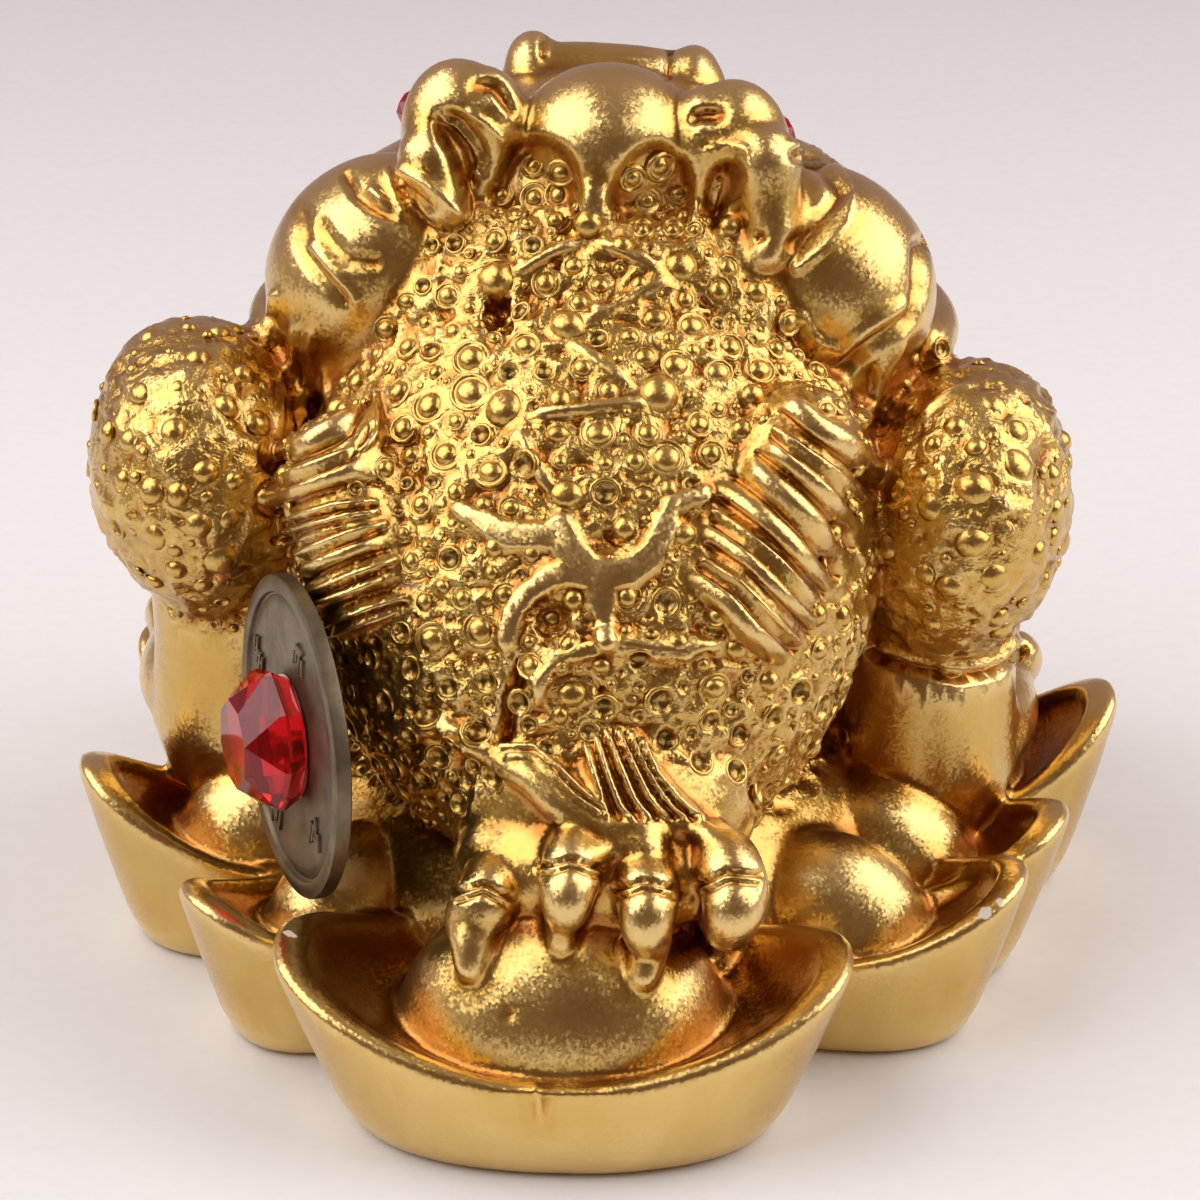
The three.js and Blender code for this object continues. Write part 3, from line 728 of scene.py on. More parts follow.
# %% [markdown]
# ### The seats and the flat underside
#
# The coin and the eye gems were put on after painting, so the casting has a seat for each. The
# seats are cut with the Boolean modifier, a little larger than what sits in them.

# %% Cutting the seats
COIN_DIAMETER = 23.8
COIN_THICKNESS = 1.3
SEAT_GAP = 0.3
COIN_LEAN = math.radians(2.7)       # how far its face looks up
COIN_FACING = math.radians(23.3)    # how far its face is turned from the toad's left towards its back
COIN_FOOT = Vector((-21.8, -16.4, 12.7))
GROUND_BLOCK = 200        # side of the cube that cuts the underside flat
coin_out = Vector((
    -math.cos(COIN_FACING) * math.cos(COIN_LEAN),
    -math.sin(COIN_FACING) * math.cos(COIN_LEAN),
    math.sin(COIN_LEAN),
))
coin_up = (Vector((0, 0, 1)) - coin_out * math.sin(COIN_LEAN)).normalized()
coin_centre = COIN_FOOT + coin_up * COIN_DIAMETER / 2

seats = []
bpy.ops.object.select_all(action="DESELECT")
bpy.ops.mesh.primitive_cylinder_add(
    vertices=96, radius=COIN_DIAMETER / 2 + SEAT_GAP, depth=COIN_THICKNESS + 2 * SEAT_GAP,
    location=coin_centre, rotation=coin_out.to_track_quat("Z", "Y").to_euler())
seats.append(settle(bpy.context.object))
for name in ("left_eye_gem", "right_eye_gem"):
    low, high = (Vector(corner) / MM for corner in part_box(name))
    seats.append(egg((low + high) / 2, [side / 2 + SEAT_GAP for side in high - low]))
bpy.ops.object.select_all(action="DESELECT")
bpy.ops.mesh.primitive_cube_add(size=GROUND_BLOCK, location=(0, 0, -GROUND_BLOCK / 2))
seats.append(settle(bpy.context.object))
cutter = joined(seats, "seats")
finish_with(casting, "BOOLEAN", object=cutter, operation="DIFFERENCE", solver="MANIFOLD")
bpy.data.objects.remove(cutter)
FINE_VOXEL = 0.25
finish_with(casting, "REMESH", mode="VOXEL", voxel_size=FINE_VOXEL)
finish_with(casting, "SMOOTH", factor=0.5, iterations=4)
print("cut", len(casting.data.polygons), "faces")

# %% [markdown]
# ## Lines carved in the skin
#
# Folds, creases and the flat web on the back are narrower than the hollows. They follow lines of
# pixels too, but here each point moves along the skin's own normal, out for a ridge and in for a
# groove. The widths and heights were judged from how broad the bright lines are in the photograph.

# %% Lines carved in the skin
# line, half width in pixels, height in mm
BROW_LINES = [
    ([(443, 116), (460, 124), (475, 143), (483, 163), (479, 176)], 7, 0.6),
    ([(488, 97), (498, 110), (504, 116)], 6, 0.3), ([(719, 180), (715, 194), (711, 208)], 6, 0.5),
    ([(401, 170), (420, 179), (441, 195), (460, 216)], 9, 0.4),
    ([(400, 188), (414, 196), (428, 208)], 9, -0.4), ([(470, 112), (489, 125), (503, 140)], 6, 0.3),
    ([(706, 152), (726, 144), (745, 148)], 7, 0.25),
]
JOWL_LINES = [
    ([(798, 155), (821, 164), (837, 184), (839, 194), (832, 205), (817, 222), (795, 245)], 13, -0.55),
    ([(793, 145), (815, 152), (836, 170), (850, 190)], 9, 0.3),
    ([(852, 199), (846, 225), (824, 248), (798, 268)], 11, 0.4),
    ([(802, 316), (813, 338), (841, 351), (865, 331), (886, 316), (904, 304)], 11, 0.35),
    ([(798, 333), (812, 357), (841, 370), (868, 348), (890, 334), (910, 318), (919, 290), (920, 245)],
      13, -0.8),
    ([(348, 178), (357, 194), (370, 204), (391, 214)], 11, -0.6), ([(372, 192), (393, 214)], 8, 0.4),
    ([(386, 172), (401, 213)], 8, 0.4), ([(319, 226), (329, 241), (346, 258), (372, 262)], 17, -0.45),
    ([(303, 213), (303, 236), (312, 258), (326, 276), (345, 296)], 17, -0.5),
    ([(310, 246), (324, 264), (341, 284), (355, 300)], 10, 0.45), ([(274, 296), (273, 312)], 9, 0.5),
]
# line and half width in pixels
WEB = [
    ([(462, 511), (478, 519), (494, 528)], 13),
    ([(488, 524), (510, 537), (535, 536), (560, 538), (570, 556)], 19),
    ([(560, 530), (572, 552), (586, 568)], 22), ([(584, 567), (608, 577), (630, 572), (648, 558)], 21),
    ([(640, 566), (656, 546), (666, 524)], 18), ([(664, 526), (672, 505), (688, 498), (703, 495)], 13),
    ([(592, 578), (567, 574), (545, 580)], 17), ([(550, 578), (528, 592), (514, 612), (507, 640)], 14),
    ([(600, 576), (602, 600)], 22), ([(602, 596), (603, 622), (606, 640)], 14),
]
FOOT_LINES = [
    ([(455, 891), (484, 883), (512, 897)], 5, -0.5), ([(456, 902), (484, 893), (508, 907)], 4, -0.35),
    ([(538, 866), (571, 858), (601, 867)], 5, -0.5), ([(541, 875), (571, 867), (598, 877)], 4, -0.35),
    ([(614, 889), (644, 879), (678, 888)], 5, -0.5), ([(617, 898), (645, 888), (675, 897)], 4, -0.35),
    ([(698, 885), (726, 871), (760, 874)], 5, -0.5), ([(702, 894), (728, 881), (758, 884)], 4, -0.35),
]
OTHER_LINES = [
    ([(868, 650), (878, 660), (912, 672), (963, 680), (997, 673), (1024, 650)], 8, -1.4),
    ([(880, 646), (915, 658), (963, 665), (995, 659), (1016, 640)], 7, 0.5),
    ([(521, 664), (510, 701), (506, 732)], 11, -1.4), ([(535, 1086), (541, 1122)], 4, 0.2),
    ([(545, 39), (544, 54)], 7, -0.5), ([(670, 50), (668, 76)], 7, -0.5),
]


def along_line(route, count=7):
    """Evenly spaced pixels along a line of pixels."""
    route = np.array(route, dtype=float)
    lengths = np.concatenate([[0], np.cumsum(np.linalg.norm(np.diff(route, axis=0), axis=1))])
    stops = np.linspace(0, lengths[-1], count)
    return np.stack([np.interp(stops, lengths, route[:, axis]) for axis in range(2)], axis=1)


def lines_between(lines, half_width, depth):
    """Grooves half-way between each line and the next."""
    routes = [along_line(route) for route, _ in lines]
    between = [(a + b) / 2 for a, b in zip(routes, routes[1:])]
    return [([tuple(pixel) for pixel in route], half_width, depth) for route in between]


PARTINGS = lines_between(LEFT_STACK, 5, -0.5) + lines_between(RIGHT_STACK, 5, -0.45)
PARTINGS += lines_between(STRANDS[2:], 4, -0.45)
THIN_ROLL = 0.65          # mm, a roll up to this radius is drawn again as a ridge, so that it stays crisp
CREST = 0.45              # mm, the height of that ridge
CRESTS = [(route, 5.5, CREST) for route, radii in LEFT_STACK + RIGHT_STACK if max(radii) <= THIN_ROLL]
CRESTS += [(route, 4.5, CREST) for route, _ in STRANDS]
WEB_HEIGHT = 0.65
WEB_FLAT = 0.45           # share of the width that is flat

skin = Skin(casting)
surface = BVHTree.FromObject(casting, bpy.context.evaluated_depsgraph_get())
raised = np.zeros(len(skin.points))
sunk = np.zeros(len(skin.points))
for route, half_width, height in BROW_LINES + JOWL_LINES + FOOT_LINES + OTHER_LINES + PARTINGS + CRESTS:
    index, gap = near_line(skin, route, half_width)
    profile = height * smooth_step(0, 1, 1 - gap / half_width)
    if height > 0:
        raised[index] = np.maximum(raised[index], profile)
    else:
        sunk[index] = np.minimum(sunk[index], profile)
web_share = np.zeros(len(skin.points))
for route, half_width in WEB:
    index, gap = near_line(skin, route, half_width)
    profile = smooth_step(0, 1, (1 - gap / half_width) / (1 - WEB_FLAT))
    web_share[index] = np.maximum(web_share[index], profile)
raised = np.maximum(raised, WEB_HEIGHT * web_share)
print("lines stand", round(float(raised.max()), 2), "mm out and", round(float(-sunk.min()), 2), "mm in")

# %% [markdown]
# ### Where the hide is warty
#
# Warts cover the torso and the shoulders. The jowls, brows, forehead, coin stacks, feet and ingots
# stay smooth. How far a point is from each egg tells which form it belongs to.

# %% Warty and smooth places
def egg_gap(centre, radii, turn=0.0, axis="Y"):
    """Roughly how far each point lies outside an egg, in mm."""
    local = (skin.points - np.array(centre)) @ np.array(Matrix.Rotation(math.radians(turn), 3, axis))
    radii = np.array(radii)
    size = np.linalg.norm(local / radii, axis=1)
    slope = np.linalg.norm(local / radii ** 2, axis=1)
    return size * (size - 1) / np.maximum(slope, 1e-6)


def bar_gap(start, end, radius):
    """How far each point lies outside a round bar, in mm."""
    start, end = np.array(start), np.array(end)
    along = end - start
    share = np.clip((skin.points - start) @ along / (along @ along), 0, 1)
    return np.linalg.norm(skin.points - start - share[:, None] * along, axis=1) - radius


# between these two gaps in mm the warts fade in or out at the edge of a form
TORSO_EDGE = (0.7, 1.6)
SHOULDER_EDGE = (0.9, 1.8)
SLEEVE_EDGE = (0.8, 1.5)
SMOOTH_EDGE = (0.1, 0.9)
NAPE_EDGE = (0.6, 1.4)
FACE_EDGE = (-0.2, 0.8)
# and between these two places in mm
NAPE_AHEAD = (4, 7)       # y
NAPE_ASIDE = (15, 18)     # x to either side
BED_TOP = (14.5, 16.5)    # z
# pixels to either side of a line: where the warts start and where they are at full strength
ROLL_ROOM = (4, 9)
TAIL_ROOM = (28, 36)
COIN_ROOM = 10            # and beside the edge of a stacked coin, for a radius of 0 mm
COIN_ROOM_GROWTH = 6      # plus this much for each mm of its radius
COIN_ROOM_FADE = 4

head_gap = egg_gap(HEAD_CENTRE, HEAD_RADII)
torso_gap = np.minimum.reduce([
    egg_gap(TORSO_CENTRE, TORSO_RADII, -TORSO_LEAN, "X"), egg_gap(*RUMP), egg_gap(*BELLY), egg_gap(*BED)])
shoulder_gap = np.minimum.reduce([
    egg_gap(leg["shoulder"], leg["radii"], leg["side"] * SHOULDER_TILT) for leg in FRONT_LEGS])
smooth_gap = np.minimum.reduce([
    *[egg_gap(*jowl) for jowl in JOWLS], egg_gap(*FOREHEAD), egg_gap(*FOOT_BACK),
    *[egg_gap(one["middle"], BROW_RADII, one["side"] * BROW_TILT) for one in BROWS],
])
sleeve_gap = np.minimum(*[bar_gap(stack["top"], stack["foot"], CORE_RADIUS) for stack in STACKS])
nape = fade(*NAPE_EDGE, head_gap) * fade(*NAPE_AHEAD, skin.points[:, 1])
nape *= fade(*NAPE_ASIDE, np.abs(skin.points[:, 0]))
face = fade(*FACE_EDGE, head_gap) * (1 - nape)
warty = np.maximum.reduce([
    fade(*TORSO_EDGE, torso_gap) * (1 - face), fade(*SHOULDER_EDGE, shoulder_gap), nape,
    fade(*SLEEVE_EDGE, sleeve_gap)])
warty *= smooth_step(*SMOOTH_EDGE, smooth_gap) * smooth_step(*BED_TOP, skin.points[:, 2]) * (1 - web_share)


def kept_clear(route, start, full):
    """Keeps warts off a line of pixels: none up to start, all from full on."""
    index, gap = near_line(skin, route, full + 1)
    warty[index] = np.minimum(warty[index], smooth_step(start, full, gap))


for route, _ in HIP + TENDON + STRANDS + STARS + NECK:
    kept_clear(route, *ROLL_ROOM)
for route, radii in LEFT_STACK + RIGHT_STACK:
    room = COIN_ROOM + COIN_ROOM_GROWTH * max(radii)
    kept_clear(route, room, room + COIN_ROOM_FADE)
for one in BROWS:
    kept_clear([pixel for pixel, _ in one["tail"]], *TAIL_ROOM)
print("warty points", int((warty > 0.5).sum()))

# %% [markdown]
# ### Warts, rings and pits
#
# Every wart is a little ball standing in a ring-shaped moat, as if pressed into the clay with a
# tube. The largest ones catch the eye, so they are placed one by one from the photograph: a ray
# from the camera through the wart's pixel finds the skin there.

# %% Warts from the photograph
# across and down in the photograph, radius in pixels
KNOBS = [
    (588, 226, 14), (683, 266, 16), (566, 323, 17), (659, 393, 18), (505, 405, 17), (566, 494, 15),
    (494, 279, 19), (572, 694, 13), (560, 716, 9),
]
HEAD_WARTS = [
    (533, 166, 9), (560, 173, 9), (501, 194, 9), (534, 198, 9), (558, 195, 9), (516, 213, 7),
    (661, 167, 10), (633, 179, 9), (679, 192, 9), (648, 202, 9), (643, 229, 8), (673, 229, 8),
    (694, 230, 7),
]
BACK_WARTS = [
    (494, 240, 10), (728, 268, 10), (546, 283, 12), (601, 286, 9), (580, 302, 10), (655, 318, 12),
    (629, 337, 10), (693, 326, 12), (719, 291, 11), (677, 365, 12), (731, 347, 11), (760, 369, 12),
    (790, 323, 10), (407, 302, 8), (408, 347, 11), (448, 296, 10), (471, 358, 14), (525, 345, 12),
    (430, 405, 14), (470, 392, 14), (403, 428, 11), (446, 454, 14), (490, 471, 13), (598, 433, 13),
    (648, 433, 11), (667, 458, 13), (712, 454, 11), (511, 508, 9), (644, 496, 9), (551, 618, 9),
    (715, 688, 12), (480, 630, 12),
]
ARM_WARTS = [
    (971, 490, 15), (932, 506, 11), (976, 543, 14), (997, 578, 13), (951, 589, 11), (1022, 464, 15),
    (1056, 475, 9), (1017, 428, 11), (1041, 415, 9), (898, 490, 11), (884, 545, 12), (997, 383, 10),
    (1036, 404, 9), (954, 424, 10), (975, 444, 9), (1059, 511, 9), (1046, 582, 8), (1000, 620, 10),
    (930, 625, 9), (915, 361, 8), (199, 356, 11), (222, 330, 9), (154, 536, 11), (199, 525, 11),
    (221, 560, 13), (260, 421, 12), (170, 430, 12), (128, 440, 10), (140, 390, 11), (178, 388, 9),
    (205, 470, 10), (236, 480, 9), (150, 490, 10), (245, 372, 10), (176, 572, 10), (120, 480, 8),
    (232, 520, 9), (262, 498, 8),
]
features = []
for kind, listed in (("knob", KNOBS), ("cup", HEAD_WARTS), ("wart", BACK_WARTS), ("arm", ARM_WARTS)):
    for across, down, pixels in listed:
        found = surface.ray_cast(eye, sight((across, down)))[0]
        if found is not None:
            features.append((np.array(found), pixels * MM_PER_PIXEL, kind))
print(len(features), "warts placed from the photograph")

# %% [markdown]
# ### Warts and pits by chance
#
# Nobody would place hundreds of small warts by hand. Darts are thrown at the hide instead, the
# large ones first, and each dart that lands far enough from the others becomes a wart or a pit. The
# order of the darts comes from their places alone, so every run gives the same field. In front,
# where the photograph doesn't look, the hide is plainer.

# %% Warts and pits by chance
MOST_DARTS = 14000        # in each round
WARTY_ENOUGH = 0.85
DEEP_LINE = -0.3          # mm, no wart stands in a carved line deeper than this
ARM_REACH = 1.5           # mm, the hide this close to a shoulder's egg is the arm's
FRONT_HIDE = 12           # y beyond which the hide is plainer
LOW_HIDE = 32             # z below which most of the warts on the body are pits
LOW_PIT_SHARE = 0.8
MOATED_SHARE = 0.55       # how many of the warts stand in a moat
CLEARANCE = 1.32          # least distance between two warts, over the sum of their radii


def hashed(points, salt):
    """A number from 0 to 1 for each point that looks random but comes from its place alone."""
    wave = np.sin(np.round(points, 1) @ np.array([12.9898, 78.233, 37.719]) + salt)
    return np.modf(np.abs(wave * 43758.5))[0]


hide = np.nonzero((warty > WARTY_ENOUGH) & (sunk > DEEP_LINE))[0]
hide = hide[np.argsort(hashed(skin.points[hide], 0.3), kind="stable")]
on_arm = shoulder_gap[hide] < ARM_REACH
in_front = skin.points[hide, 1] > FRONT_HIDE
low = (skin.points[hide, 2] < LOW_HIDE) & ~on_arm
draw = hashed(skin.points[hide], 4.1)
ROUNDS = [
    # least and most radius, distance to the next one on the back, on an arm and in front, share of pits
    (0.62, 0.95, 2.6, 6.0, 4.2, 0.2),
    (0.36, 0.6, 1.6, 4.4, 4.0, 0.3),
    (0.26, 0.38, 2.0, 3.4, 3.8, 0.3),
]
for number, (least, most, back_room, arm_room, front_room, pit_share) in enumerate(ROUNDS):
    start = number * MOST_DARTS
    darts = slice(start, start + MOST_DARTS)
    rooms = np.where(in_front, front_room, np.where(on_arm, arm_room, back_room))[darts]
    spots = skin.points[hide[darts]]
    radii = least + (most - least) * draw[darts]
    kinds = np.where(on_arm[darts], "arm", np.where(hashed(spots, 2.3) < MOATED_SHARE, "wart", "bump"))
    kinds = np.where(hashed(spots, 9.7) < np.where(low[darts], LOW_PIT_SHARE, pit_share), "pit", kinds)
    taken = np.array([middle for middle, _, _ in features])
    taken_radii = np.array([radius for _, radius, _ in features])
    room_left = np.zeros(len(taken))
    for middle, radius, room, kind in zip(spots, radii, rooms, kinds):
        gaps = np.linalg.norm(taken - middle, axis=1)
        if np.all(gaps > np.maximum(room_left, (taken_radii + radius) * CLEARANCE)):
            features.append((middle, radius, str(kind)))
            taken = np.vstack([taken, middle])
            taken_radii = np.append(taken_radii, radius)
            room_left = np.append(room_left, room)
    print("round", number + 1, "brings the warts and pits to", len(features))

# %% [markdown]
# ### Pits and wrinkles
#
# Between the warts the hide is crumpled, as soft wax gets when a brush is dabbed on it. Smooth
# noise has hills and valleys, and taking its distance from zero folds it into sharp ridges, which
# look like wrinkles. Two sizes of wrinkle are laid over each other. They die out around each wart,
# so that its foot stays clean.

# %% Pits and wrinkles
SEED_SHIFT = 7.31         # cells


def lumps(points, size, seed):
    """Smooth noise from -1 to 1, about size mm from one lump to the next. A seed shifts it, and large
    primes turn the corners of its cells into numbers that look random."""
    cell = points / size + seed * SEED_SHIFT
    corner = np.floor(cell).astype(np.int64)
    part = cell - corner
    part = part * part * (3 - 2 * part)
    total = np.zeros(len(points))
    for dx in (0, 1):
        for dy in (0, 1):
            for dz in (0, 1):
                key = (corner + (dx, dy, dz)) @ np.array([73856093, 19349663, 83492791])
                key = ((key ^ (key >> 13)) * 1274126177) & 0x7FFFFFFF
                key = ((key ^ (key >> 16)) * 668265263) & 0x7FFFFFFF
                weight = (part[:, 0] if dx else 1 - part[:, 0]) * (part[:, 1] if dy else 1 - part[:, 1])
                total += weight * (part[:, 2] if dz else 1 - part[:, 2]) * (key / 0x3FFFFFFF - 1)
    return total


def folds(points, size, seed):
    """Sharp ridges about size mm apart, from 0.5 on a ridge down to -1.4 between two."""
    return 0.5 - np.abs(lumps(points, size, seed)) * 1.9


def point_tree(points):
    """A tree that finds the points nearest to a place."""
    tree = KDTree(len(points))
    for number, point in enumerate(points):
        tree.insert(point, number)
    tree.balance()
    return tree


PIT_DEPTH = 0.85          # over the pit's radius
FEATURE_REACH = 1.7       # how far a wart or pit works on the skin around it, over its radius
CALM_EDGE = (1.0, 1.5)    # where the wrinkles start beside a wart and are at full strength, over its radius
ARM_EDGE = (1.0, 2.0)     # mm outside a shoulder's egg over which the arm's hide ends
WRINKLE_SIZE = 2.1        # mm from one to the next
WRINKLE_HEIGHT = 0.36
FINE_WRINKLE_SIZE = 1.15
FINE_WRINKLE_HEIGHT = 0.24
PULL_SIZE = 2.6           # the wrinkles are pulled out of line by lumps of this size
PULL = 0.7
ARM_WEAR = 0.35           # how much lower the wrinkles are on the arms
ARM_LUMP_SIZE = 3.2
ARM_LUMP_HEIGHT = 0.3
# the whole casting is a little uneven, as hand-finished wax is: size and height in mm, and a seed
UNEVEN = [(6, 0.05, 3), (2.5, 0.025, 4)]

skin_tree = point_tree(skin.points)
calm = np.ones(len(skin.points))
arm_share = fade(*ARM_EDGE, shoulder_gap)
for middle, radius, kind in features:
    found = skin_tree.find_range(middle, radius * FEATURE_REACH)
    index = np.array([entry[1] for entry in found], dtype=int)
    share = np.array([entry[2] for entry in found]) / radius
    if kind == "pit":
        sunk[index] = np.minimum(sunk[index], -PIT_DEPTH * radius * np.clip(1 - share ** 2, 0, 1))
    calm[index] = np.minimum(calm[index], smooth_step(*CALM_EDGE, share))
rough = np.nonzero(warty > 0.02)[0]
pulled = skin.points[rough] + PULL * lumps(skin.points[rough], PULL_SIZE, 6)[:, None]
crumple = WRINKLE_HEIGHT * folds(pulled, WRINKLE_SIZE, 1)
crumple += FINE_WRINKLE_HEIGHT * folds(pulled, FINE_WRINKLE_SIZE, 2)
raised[rough] += warty[rough] * calm[rough] * (1 - ARM_WEAR * arm_share[rough]) * crumple
arm_lumps = ARM_LUMP_HEIGHT * lumps(skin.points[rough], ARM_LUMP_SIZE, 5)
raised[rough] += warty[rough] * arm_share[rough] * arm_lumps
for size, height, seed in UNEVEN:
    raised += height * lumps(skin.points, size, seed)
skin.moved(skin.normals * (raised + sunk)[:, None])
print("carved", round(float(raised.max()), 2), "mm out and", round(float(sunk.min()), 2), "mm in at most")

# %% [markdown]
# ### Thinning the casting
#
# The carved skin has far more faces than its smooth places need. The Decimate modifier folds away
# the flattest faces first, so the carving keeps its own.

# %% Thinning the casting
MOST_TRIANGLES = 197000
finish_with(casting, "TRIANGULATE")
finish_with(casting, "DECIMATE", ratio=MOST_TRIANGLES / len(casting.data.polygons))
print("thinned to", len(casting.data.polygons), "triangles")

# %% [markdown]
# ### How deep and how rough each place is
#
# The colour darkens the small hollows as painted shade, and makes crests paler, partly for paint
# rubbed thin and partly as a painted highlight. For that each point gets a number: how far the
# smoothed skin around it lies outside it. A second number says where the hide is, so the finest
# wrinkles can be added by the paint's own bump. A third says how much of the sky over a point is
# covered, which the colour turns into painted shade too. Rays are sent out around its normal for
# that, most of them steep, as most of the light comes.

# %% Hollow, hide and shelter numbers
def blurred(item, values, rounds):
    """The values of the points, each replaced round by round by the mean of its neighbours."""
    count = len(item.data.vertices)
    ends = np.empty(len(item.data.edges) * 2, dtype=np.int64)
    item.data.edges.foreach_get("vertices", ends)
    first, second = ends.reshape(-1, 2).T
    neighbours = np.bincount(first, minlength=count) + np.bincount(second, minlength=count)
    smooth = values.copy()
    for _ in range(rounds):
        totals = [
            np.bincount(first, column[second], count) + np.bincount(second, column[first], count)
            for column in smooth.T]
        smooth = np.stack(totals, axis=1) / np.maximum(neighbours, 1)[:, None]
    return smooth


SHELTER_REACH = 16        # mm, how far something may stand and still shelter a point
SHELTER_RAYS = 20
SHELTER_STEP = 5          # one point in this many is asked, and the others take over from their neighbours
RAY_START = 0.4           # mm over the skin, so that its own wrinkles don't count
GOLDEN_TURN = 2.4         # radians from one ray to the next, which spreads any number of them evenly
BLUR_ROUNDS = 6
FULL_HOLLOW = 0.35        # mm, the depth that counts as 1


def sheltered(skin, ground):
    """Which share of the sky over each point the casting itself covers, from 0 to 1."""
    rays = []
    for number in range(SHELTER_RAYS):
        reach = math.sqrt((number + 0.5) / SHELTER_RAYS)
        turn = number * GOLDEN_TURN
        rays.append(Vector((reach * math.cos(turn), reach * math.sin(turn), math.sqrt(1 - reach * reach))))
    asked = range(0, len(skin.points), SHELTER_STEP)
    shares = []
    for number in asked:
        normal = Vector(skin.normals[number])
        turn = normal.to_track_quat("Z", "Y")
        start = Vector(skin.points[number]) + normal * RAY_START
        covered = sum(ground.ray_cast(start, turn @ ray, SHELTER_REACH)[0] is not None for ray in rays)
        shares.append(covered / SHELTER_RAYS)
    near = point_tree(skin.points[::SHELTER_STEP])
    return np.array([shares[near.find(point)[1]] for point in skin.points])


def give(item, name, values):
    """Gives each point of a mesh its number under a name, which a material can read."""
    attribute = item.data.attributes.new(name, "FLOAT", "POINT")
    attribute.data.foreach_set("value", np.asarray(values, dtype=np.float32))


thinned = Skin(casting)
ground = BVHTree.FromObject(casting, bpy.context.evaluated_depsgraph_get())
outwards = blurred(casting, thinned.points, BLUR_ROUNDS) - thinned.points
hollow = np.einsum("ij,ij->i", outwards, thinned.normals)
shelter = blurred(casting, sheltered(thinned, ground)[:, None], BLUR_ROUNDS)[:, 0]
give(casting, "hollow", np.clip(hollow / FULL_HOLLOW, -1, 1))
give(casting, "hide", [warty[skin_tree.find(corner.co)[1]] for corner in casting.data.vertices])
give(casting, "shelter", shelter)
print("hollows from", round(float(hollow.min()), 2), "to", round(float(hollow.max()), 2), "mm")
print("sheltered by", round(float(shelter.mean()), 2), "on average")

# %% [markdown]
# ### Setting the warts
#
# The warts are too fine for the fused skin, so each kind is turned once as a small round shape with
# a few dozen faces and then copied. A wart has a skirt under the skin, a raised ring, the moat and
# the ball in it. No two copies are quite alike: each is stretched and tilted a little by a seeded
# draw.

# %% The warts and the rings of the pits
# radius and height as shares of the wart's radius, from the skirt under the skin to the top
WART = [(1.42, -0.4), (1.36, 0.02), (1.24, 0.1), (1.1, -0.06), (0.97, -0.1), (0.87, 0.2),
        (0.62, 0.46), (0.3, 0.58)]
BUMP = [(1.2, -0.5), (1.06, -0.12), (0.92, 0.26), (0.7, 0.52), (0.36, 0.7)]
CUP = [(1.75, -0.4), (1.62, 0.12), (1.44, 0.36), (1.24, 0.28), (1.06, -0.08), (0.95, -0.14), (0.82, 0.2),
       (0.54, 0.46), (0.26, 0.56)]
ARM = [(1.4, -0.5), (1.16, -0.1), (0.95, 0.12), (0.66, 0.34), (0.3, 0.44)]
KNOB = [(1.2, -0.5), (1.05, -0.14), (0.95, 0.12), (0.78, 0.38), (0.5, 0.56), (0.22, 0.62)]
RING = [(1.4, -0.4), (1.3, 0.04), (1.12, 0.13), (0.95, 0.02), (0.84, -0.4)]


def turned(profile, sides):
    """A round shape pulled up ring by ring from a filled circle."""
    bpy.ops.object.select_all(action="DESELECT")
    bpy.ops.mesh.primitive_circle_add(vertices=sides, radius=1, fill_type="NGON")
    item = bpy.context.object
    bpy.ops.object.mode_set(mode="EDIT")
    bpy.ops.mesh.select_all(action="SELECT")
    for number, (radius, height) in enumerate(profile):
        if number:
            bpy.ops.mesh.extrude_region_move()
        for corner in bmesh.from_edit_mesh(item.data).verts:
            if corner.select:
                x, y = corner.co.xy.normalized()
                corner.co = (x * radius, y * radius, height)
        bmesh.update_edit_mesh(item.data)
    bpy.ops.mesh.select_all(action="SELECT")
    bpy.ops.mesh.normals_make_consistent(inside=False)
    bpy.ops.object.mode_set(mode="OBJECT")
    return item


def sown(pattern, chosen, name):
    """Copies of the pattern at the chosen places, each standing on the skin, joined into one piece."""
    copies = []
    chance = np.random.default_rng(len(chosen))
    for middle, radius, _ in chosen:
        normal = surface.find_nearest(Vector(middle))[1]
        item = pattern.copy()
        item.data = pattern.data.copy()
        bpy.context.collection.objects.link(item)
        item.location = middle
        tilt = Vector(chance.uniform(-MOST_TILT, MOST_TILT, 3))
        item.rotation_euler = (normal + tilt).to_track_quat("Z", "Y").to_euler()
        item.scale = [radius * chance.uniform(least, WIDEST) for least in (NARROWEST, NARROWEST, LOWEST)]
        copies.append(item)
    bpy.data.objects.remove(pattern)
    return settle(joined(copies, name))


MOST_TILT = 0.2           # how far a wart leans at most, as a share of its normal's length
NARROWEST = 0.88          # the least and most that a wart is stretched by
WIDEST = 1.1
LOWEST = 0.75
BIG = 0.9                 # mm, the radius from which a wart gets more corners
# kind, profile, corners, least radius in mm
GROUPS = [("knob", KNOB, 24, 0), ("cup", CUP, 14, 0), ("wart", WART, 18, BIG), ("wart", WART, 10, 0),
          ("bump", BUMP, 16, BIG), ("bump", BUMP, 9, 0), ("arm", ARM, 14, 0), ("pit", RING, 12, 0.4)]
groups = []
placed = set()
for kind, profile, sides, least in GROUPS:
    chosen = [number for number, entry in enumerate(features)
              if entry[2] == kind and entry[1] >= least and number not in placed]
    placed.update(chosen)
    if chosen:
        groups.append(sown(turned(profile, sides), [features[number] for number in chosen], kind))
warts = joined(groups, "hide_warts")
near_skin = point_tree(thinned.points)
# the warts take the shelter number of the skin under them, which darkens them with painted shade
give(warts, "shelter", [shelter[near_skin.find(corner.co)[1]] for corner in warts.data.vertices])
warts.data.calc_loop_triangles()
print(len(placed), "warts and rings,", len(warts.data.loop_triangles), "triangles")

